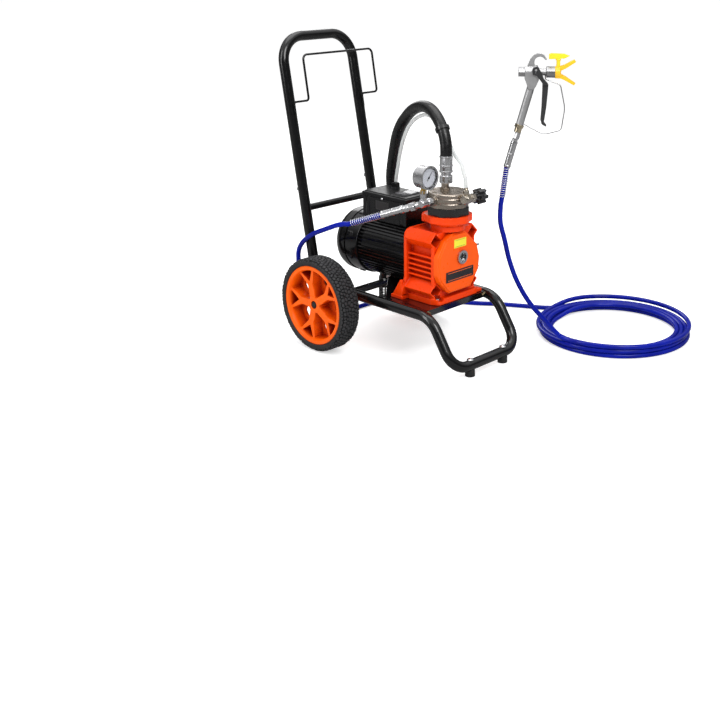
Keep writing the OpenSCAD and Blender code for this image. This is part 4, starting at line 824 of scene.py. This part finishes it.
def disc_face():
    V, F, I = [], [], []
    seg = 64
    ph = np.arange(seg) * 2 * math.pi / seg

    def ring(r, x):
        s = len(V)
        V.extend([[GX + x, GY + r * math.cos(a), GZ + r * math.sin(a)] for a in ph])
        return s

    def band(a, b, m):
        for k in range(seg):
            F.append((a + k, a + (k + 1) % seg, b + (k + 1) % seg, b + k))
            I.append(m)

    c = len(V)
    V.append([GX - 6.3, GY, GZ])
    a = ring(6, -6.3)
    for k in range(seg):
        F.append((c, a + k, a + (k + 1) % seg))
        I.append(0)
    b = ring(24.2, -6.4)
    band(a, b, 0)
    # dark moulded ring round the dial
    r1, r2, r3, r4 = ring(24.3, -4.0), ring(24.9, -3.5), ring(26.4, -3.5), ring(26.5, -7.4)
    band(b, r1, 2), band(r1, r2, 2), band(r2, r3, 2), band(r3, r4, 2)
    e = ring(6, -7.4)
    band(r4, e, 2)
    c2 = len(V)
    V.append([GX - 7.4, GY, GZ])
    for k in range(seg):
        F.append((c2, e + (k + 1) % seg, e + k))
        I.append(2)

    def tick(ang, r0, r1_, w):
        a_ = math.radians(ang)
        rad, tan = np.array([0, math.sin(a_), math.cos(a_)]), np.array([0, math.cos(a_), -math.sin(a_)])
        base = np.array([GX - 6.45, GY, GZ])
        s = len(V)
        for x in (0.0, 0.3):
            for rr, ww in ((r0, -w), (r1_, -w), (r1_, w), (r0, w)):
                V.append(list(base + np.array([x, 0, 0]) + rad * rr + tan * ww / 2))
        for f in ((0, 1, 2, 3), (4, 7, 6, 5), (0, 4, 5, 1), (1, 5, 6, 2), (2, 6, 7, 3), (3, 7, 4, 0)):
            F.append(tuple(s + k for k in f))
            I.append(1)

    for k in range(51):
        big = k % 10 == 0
        half = k % 5 == 0
        tick(-135 + 270 * k / 50, 19.2 if big else 20.8 if half else 21.8, 23.4, 0.9 if big else 0.55 if half else 0.35)
    for k in range(26):
        tick(-135 + 270 * k / 25, 15.6, 17.0, 0.4)
    return make("gauge_face", M(np.array(V)), F, [dial_face, ink, dial_ring], "cart", "gauge_dial", smooth=False, index=I)


disc_face()


# ------------------------------------------------------------------ plates, screws and welds
def plate(name, centre, w, h, t, r, axis, mats, node=None, bars=(), slot=None):
    """thin plate with rounded corners facing +x (axis x) or -y (axis y); bars are (u, v, w, h) raised strips in mats[1]"""
    c = np.array(centre, float)
    if axis == "x":
        U, Vv, Nn = np.array([0, 1.0, 0]), np.array([0, 0, 1.0]), np.array([1.0, 0, 0])
    else:
        U, Vv, Nn = np.array([1.0, 0, 0]), np.array([0, 0, 1.0]), np.array([0, -1.0, 0])
    V, F, I = [], [], []

    def block(cu, cv, bw, bh, z0, z1, rad, mi):
        pts = []
        for sx, sy, a0 in ((1, 1, 0), (-1, 1, 90), (-1, -1, 180), (1, -1, 270)):
            for k in range(6):
                a = math.radians(a0 + 18 * k)
                pts.append((cu + sx * (bw / 2 - rad) + rad * math.cos(a), cv + sy * (bh / 2 - rad) + rad * math.sin(a)))
        n = len(pts)
        s = len(V)
        for z, k in ((z0, 1.0), (z1 - 0.15, 1.0), (z1, 0.0)):
            for pu, pv in pts:
                ins = 0.15 if k == 0.0 else 0.0
                lu, lv = pu - cu, pv - cv
                lu -= math.copysign(min(ins, abs(lu)), lu)
                lv -= math.copysign(min(ins, abs(lv)), lv)
                V.append(list(c + U * (cu + lu) + Vv * (cv + lv) + Nn * z))
        for b in (0, 1):
            for k in range(n):
                F.append((s + b * n + k, s + b * n + (k + 1) % n, s + (b + 1) * n + (k + 1) % n, s + (b + 1) * n + k))
                I.append(mi)
        F.append(tuple(s + 2 * n + k for k in range(n)))
        F.append(tuple(s + k for k in range(n))[::-1])
        I.extend([mi, mi])

    block(0, 0, w, h, 0.0, t, r, 0)
    for bu, bv, bw, bh in bars:
        block(bu, bv, bw, bh, t - 0.05, t + 0.12, min(bw, bh) * 0.3, 1)
    return make(name, M(np.array(V)), F, mats, "cart", node, smooth=False, index=I, slot=slot)


plate("maker_plate_blank", [320.05, 7.5, 231], 105, 28, 0.85, 2.0, "x", [label_black, label_stripe], "label_plates",
      bars=[(0, -9.6, 92, 1.6), (0, 9.6, 92, 1.6)])
plate("notice_plate_blank", [320.05, 8, 315.5], 46, 23, 0.65, 1.0, "x", [label_yellow, label_ink],
      bars=[(0, -8.6, 38, 1.2), (0, 8.6, 38, 1.2)], slot=SLOT["label_plates"])
plate("rating_plate_blank", [79, -36.05, 379], 50, 25, 0.5, 1.0, "y", [plate_grey, dark_coat], slot=SLOT["terminal_box"],
      bars=[(0, 10.3, 44, 0.7), (0, -10.3, 44, 0.7), (-21.6, 0, 0.7, 19), (21.6, 0, 0.7, 19)])


def screw(name, p, d, r, mat=None, slot="bright_steel"):
    return turned(name, p, d, [(0, r * 0.96, 0), (r * 0.25, r, 0), (r * 0.5, r * 0.86, 0), (r * 0.66, r * 0.5, 0), (r * 0.66, r * 0.46, 6), (r * 0.3, r * 0.42, 6)],
                  mat or bolt_steel, "cart", seg=24, slot=slot)


screw("box_screw_side", [81, -38.9, 399], [0, -1, 0], 3.6)
screw("lid_screw_front_low", [167.9, -24, 390], [1, 0, 0], 2.6)
screw("lid_screw_front_high", [167.9, 42, 390], [1, 0, 0], 2.6)
for k, a in enumerate(range(45, 360, 90)):
    b = math.radians(a)
    screw(f"bell_screw_{k}", [-21.9, 5 + 84.0 * math.cos(b), 263 + 84.0 * math.sin(b)], [-1, 0, 0], 3.2)


def bead(name, a, b, r):
    """weld bead laid from a to b in overlapping ripples"""
    a, b = np.array(a, float), np.array(b, float)
    n = 60
    s = np.linspace(0, 1, n)
    rng = np.random.default_rng(5)
    pts = a + np.outer(s, b - a) + rng.normal(0, 0.12, (n, 3))
    rad = r * (0.82 + 0.18 * np.abs(np.sin(s * np.linalg.norm(b - a) / 2.4 * math.pi / 2))) * np.sqrt(np.clip(1 - (2 * s - 1) ** 8, 0.04, 1))
    o = tube(name, pts, r, 12, weld_gold, "cart", radius=rad)
    return o


bead("weld_front_right", [318.6, -112.2, 156.5], [318.6, -100, 151], 2.6)
bead("weld_front_left", [318.6, 112.2, 156.5], [318.6, 100, 151], 2.6)

# ------------------------------------------------------------------ stage, light, camera
scene = bpy.context.scene
bm = bmesh.new()
bmesh.ops.create_grid(bm, x_segments=8, y_segments=8, size=30)
floor_me = bpy.data.meshes.new("floor")
bm.to_mesh(floor_me)
bm.free()
floor = bpy.data.objects.new("floor", floor_me)
scene.collection.objects.link(floor)
fm = Mat("floor_pale")
fray = fm.node("ShaderNodeLightPath")
pale = fm.mix(fm.range(fm.noise(2.0, 3), 0.3, 0.7, 0, 1), (0.86, 0.86, 0.86), (0.88, 0.88, 0.88))
fm.put(Base_Color=fm.mix(fray.outputs["Is Glossy Ray"], pale, (0.34, 0.34, 0.34)), Roughness=0.75, Normal=fm.bump(fm.noise(60, 2), 0.02, 0.001))
fm.put(Emission_Color=(1.0, 1.0, 1.0), Emission_Strength=fm.range(fray.outputs["Is Camera Ray"], 0, 1, 0.0, 0.52))
fm.b.inputs["Specular IOR Level"].default_value = 0.15
floor_me.materials.append(fm.m)
floor.location = (0, 0, -0.0004)

world = bpy.data.worlds.new("studio")
scene.world = world
world.use_nodes = True
wt = world.node_tree
wt.nodes.clear()
wo = wt.nodes.new("ShaderNodeOutputWorld")
bg = wt.nodes.new("ShaderNodeBackground")
wt.links.new(bg.outputs[0], wo.inputs[0])
geo = wt.nodes.new("ShaderNodeTexCoord")
sep = wt.nodes.new("ShaderNodeSeparateXYZ")
wt.links.new(geo.outputs["Generated"], sep.inputs[0])
ramp = wt.nodes.new("ShaderNodeValToRGB")
wt.links.new(sep.outputs[2], ramp.inputs[0])
el = ramp.color_ramp.elements
el[0].position, el[0].color = 0.0, (0.34, 0.34, 0.34, 1)
el[1].position, el[1].color = 1.0, (1.1, 1.1, 1.1, 1)
for pos, v in ((0.10, 0.13), (0.26, 0.09), (0.42, 0.34), (0.62, 0.95)):
    e = el.new(pos)
    e.color = (v, v, v * 1.01, 1)
lp = wt.nodes.new("ShaderNodeLightPath")


def pick(flag, a, b):
    n = wt.nodes.new("ShaderNodeMix")
    n.data_type = "RGBA"
    wt.links.new(lp.outputs[flag], n.inputs[0])
    wt.links.new(a, n.inputs[6])
    n.inputs[7].default_value = b
    return n.outputs[2]


# even light for matt surfaces, a darker room with a bright ceiling in reflections, and a pale backdrop for the camera
sky = pick("Is Diffuse Ray", ramp.outputs[0], (0.54, 0.54, 0.54, 1))
wt.links.new(pick("Is Camera Ray", sky, (1.0, 1.0, 1.0, 1)), bg.inputs[0])
bg.inputs[1].default_value = 1.0


def softbox(name, loc, target, w, h, power, col=(1, 1, 1)):
    ld = bpy.data.lights.new(name, "AREA")
    ld.shape, ld.size, ld.size_y, ld.energy, ld.color = "RECTANGLE", w, h, power, col
    o = bpy.data.objects.new(name, ld)
    scene.collection.objects.link(o)
    p, q = Vector(loc), Vector(target)
    o.location = p
    o.rotation_mode = "QUATERNION"
    o.rotation_quaternion = (q - p).to_track_quat("-Z", "Y")
    return o


mid = Vector(tuple(M([120, 60, 260])))
softbox("key", mid + Vector((2.4, -0.9, 2.3)), mid, 1.5, 1.5, 58)
softbox("top", mid + Vector((-0.3, 0.2, 3.0)), mid, 2.6, 2.2, 40)
softbox("side", mid + Vector((-0.9, -3.0, 1.5)), mid, 0.8, 2.4, 36)
softbox("rear", mid + Vector((-2.6, 1.8, 1.8)), mid, 1.4, 2.0, 24)

cam_data = bpy.data.cameras.new("camera")
cam = bpy.data.objects.new("camera", cam_data)
scene.collection.objects.link(cam)
yaw, pitch, roll = (math.radians(v) for v in (130.77, 13.4, 0.76))
fwd = np.array([math.cos(yaw) * math.cos(pitch), math.sin(yaw) * math.cos(pitch), -math.sin(pitch)])
right = unit(np.cross(fwd, [0, 0, 1]))
up = np.cross(right, fwd)
r2 = right * math.cos(roll) + up * math.sin(roll)
u2 = -right * math.sin(roll) + up * math.cos(roll)
place = M([2172.57, -2065.18, 1099.97])
cam.matrix_world = Matrix([[r2[i], u2[i], -fwd[i], place[i]] for i in range(3)] + [[0, 0, 0, 1]])
cam_data.sensor_width, cam_data.lens = 36.0, 55.995
cam_data.clip_start, cam_data.clip_end = 0.05, 100.0
# the photograph is off centre in its frame, so the lens is shifted, but only at the photograph's own viewpoint
for path, value in (("shift_x", -0.16643), ("shift_y", -0.2268)):
    drv = cam_data.driver_add(path).driver
    drv.type = "SCRIPTED"
    for vn, tt in (("cx", "LOC_X"), ("cy", "LOC_Y")):
        var = drv.variables.new()
        var.name, var.type = vn, "TRANSFORMS"
        var.targets[0].id = cam
        var.targets[0].transform_type = tt
        var.targets[0].transform_space = "WORLD_SPACE"
    drv.expression = f"{value} if abs(cx - {place[0]:.4f}) < 0.002 and abs(cy - {place[1]:.4f}) < 0.002 else 0.0"
scene.camera = cam
scene.view_settings.view_transform = "Standard"
scene.view_settings.look = "None"
scene.view_settings.exposure = 0.0

bpy.context.view_layer.update()
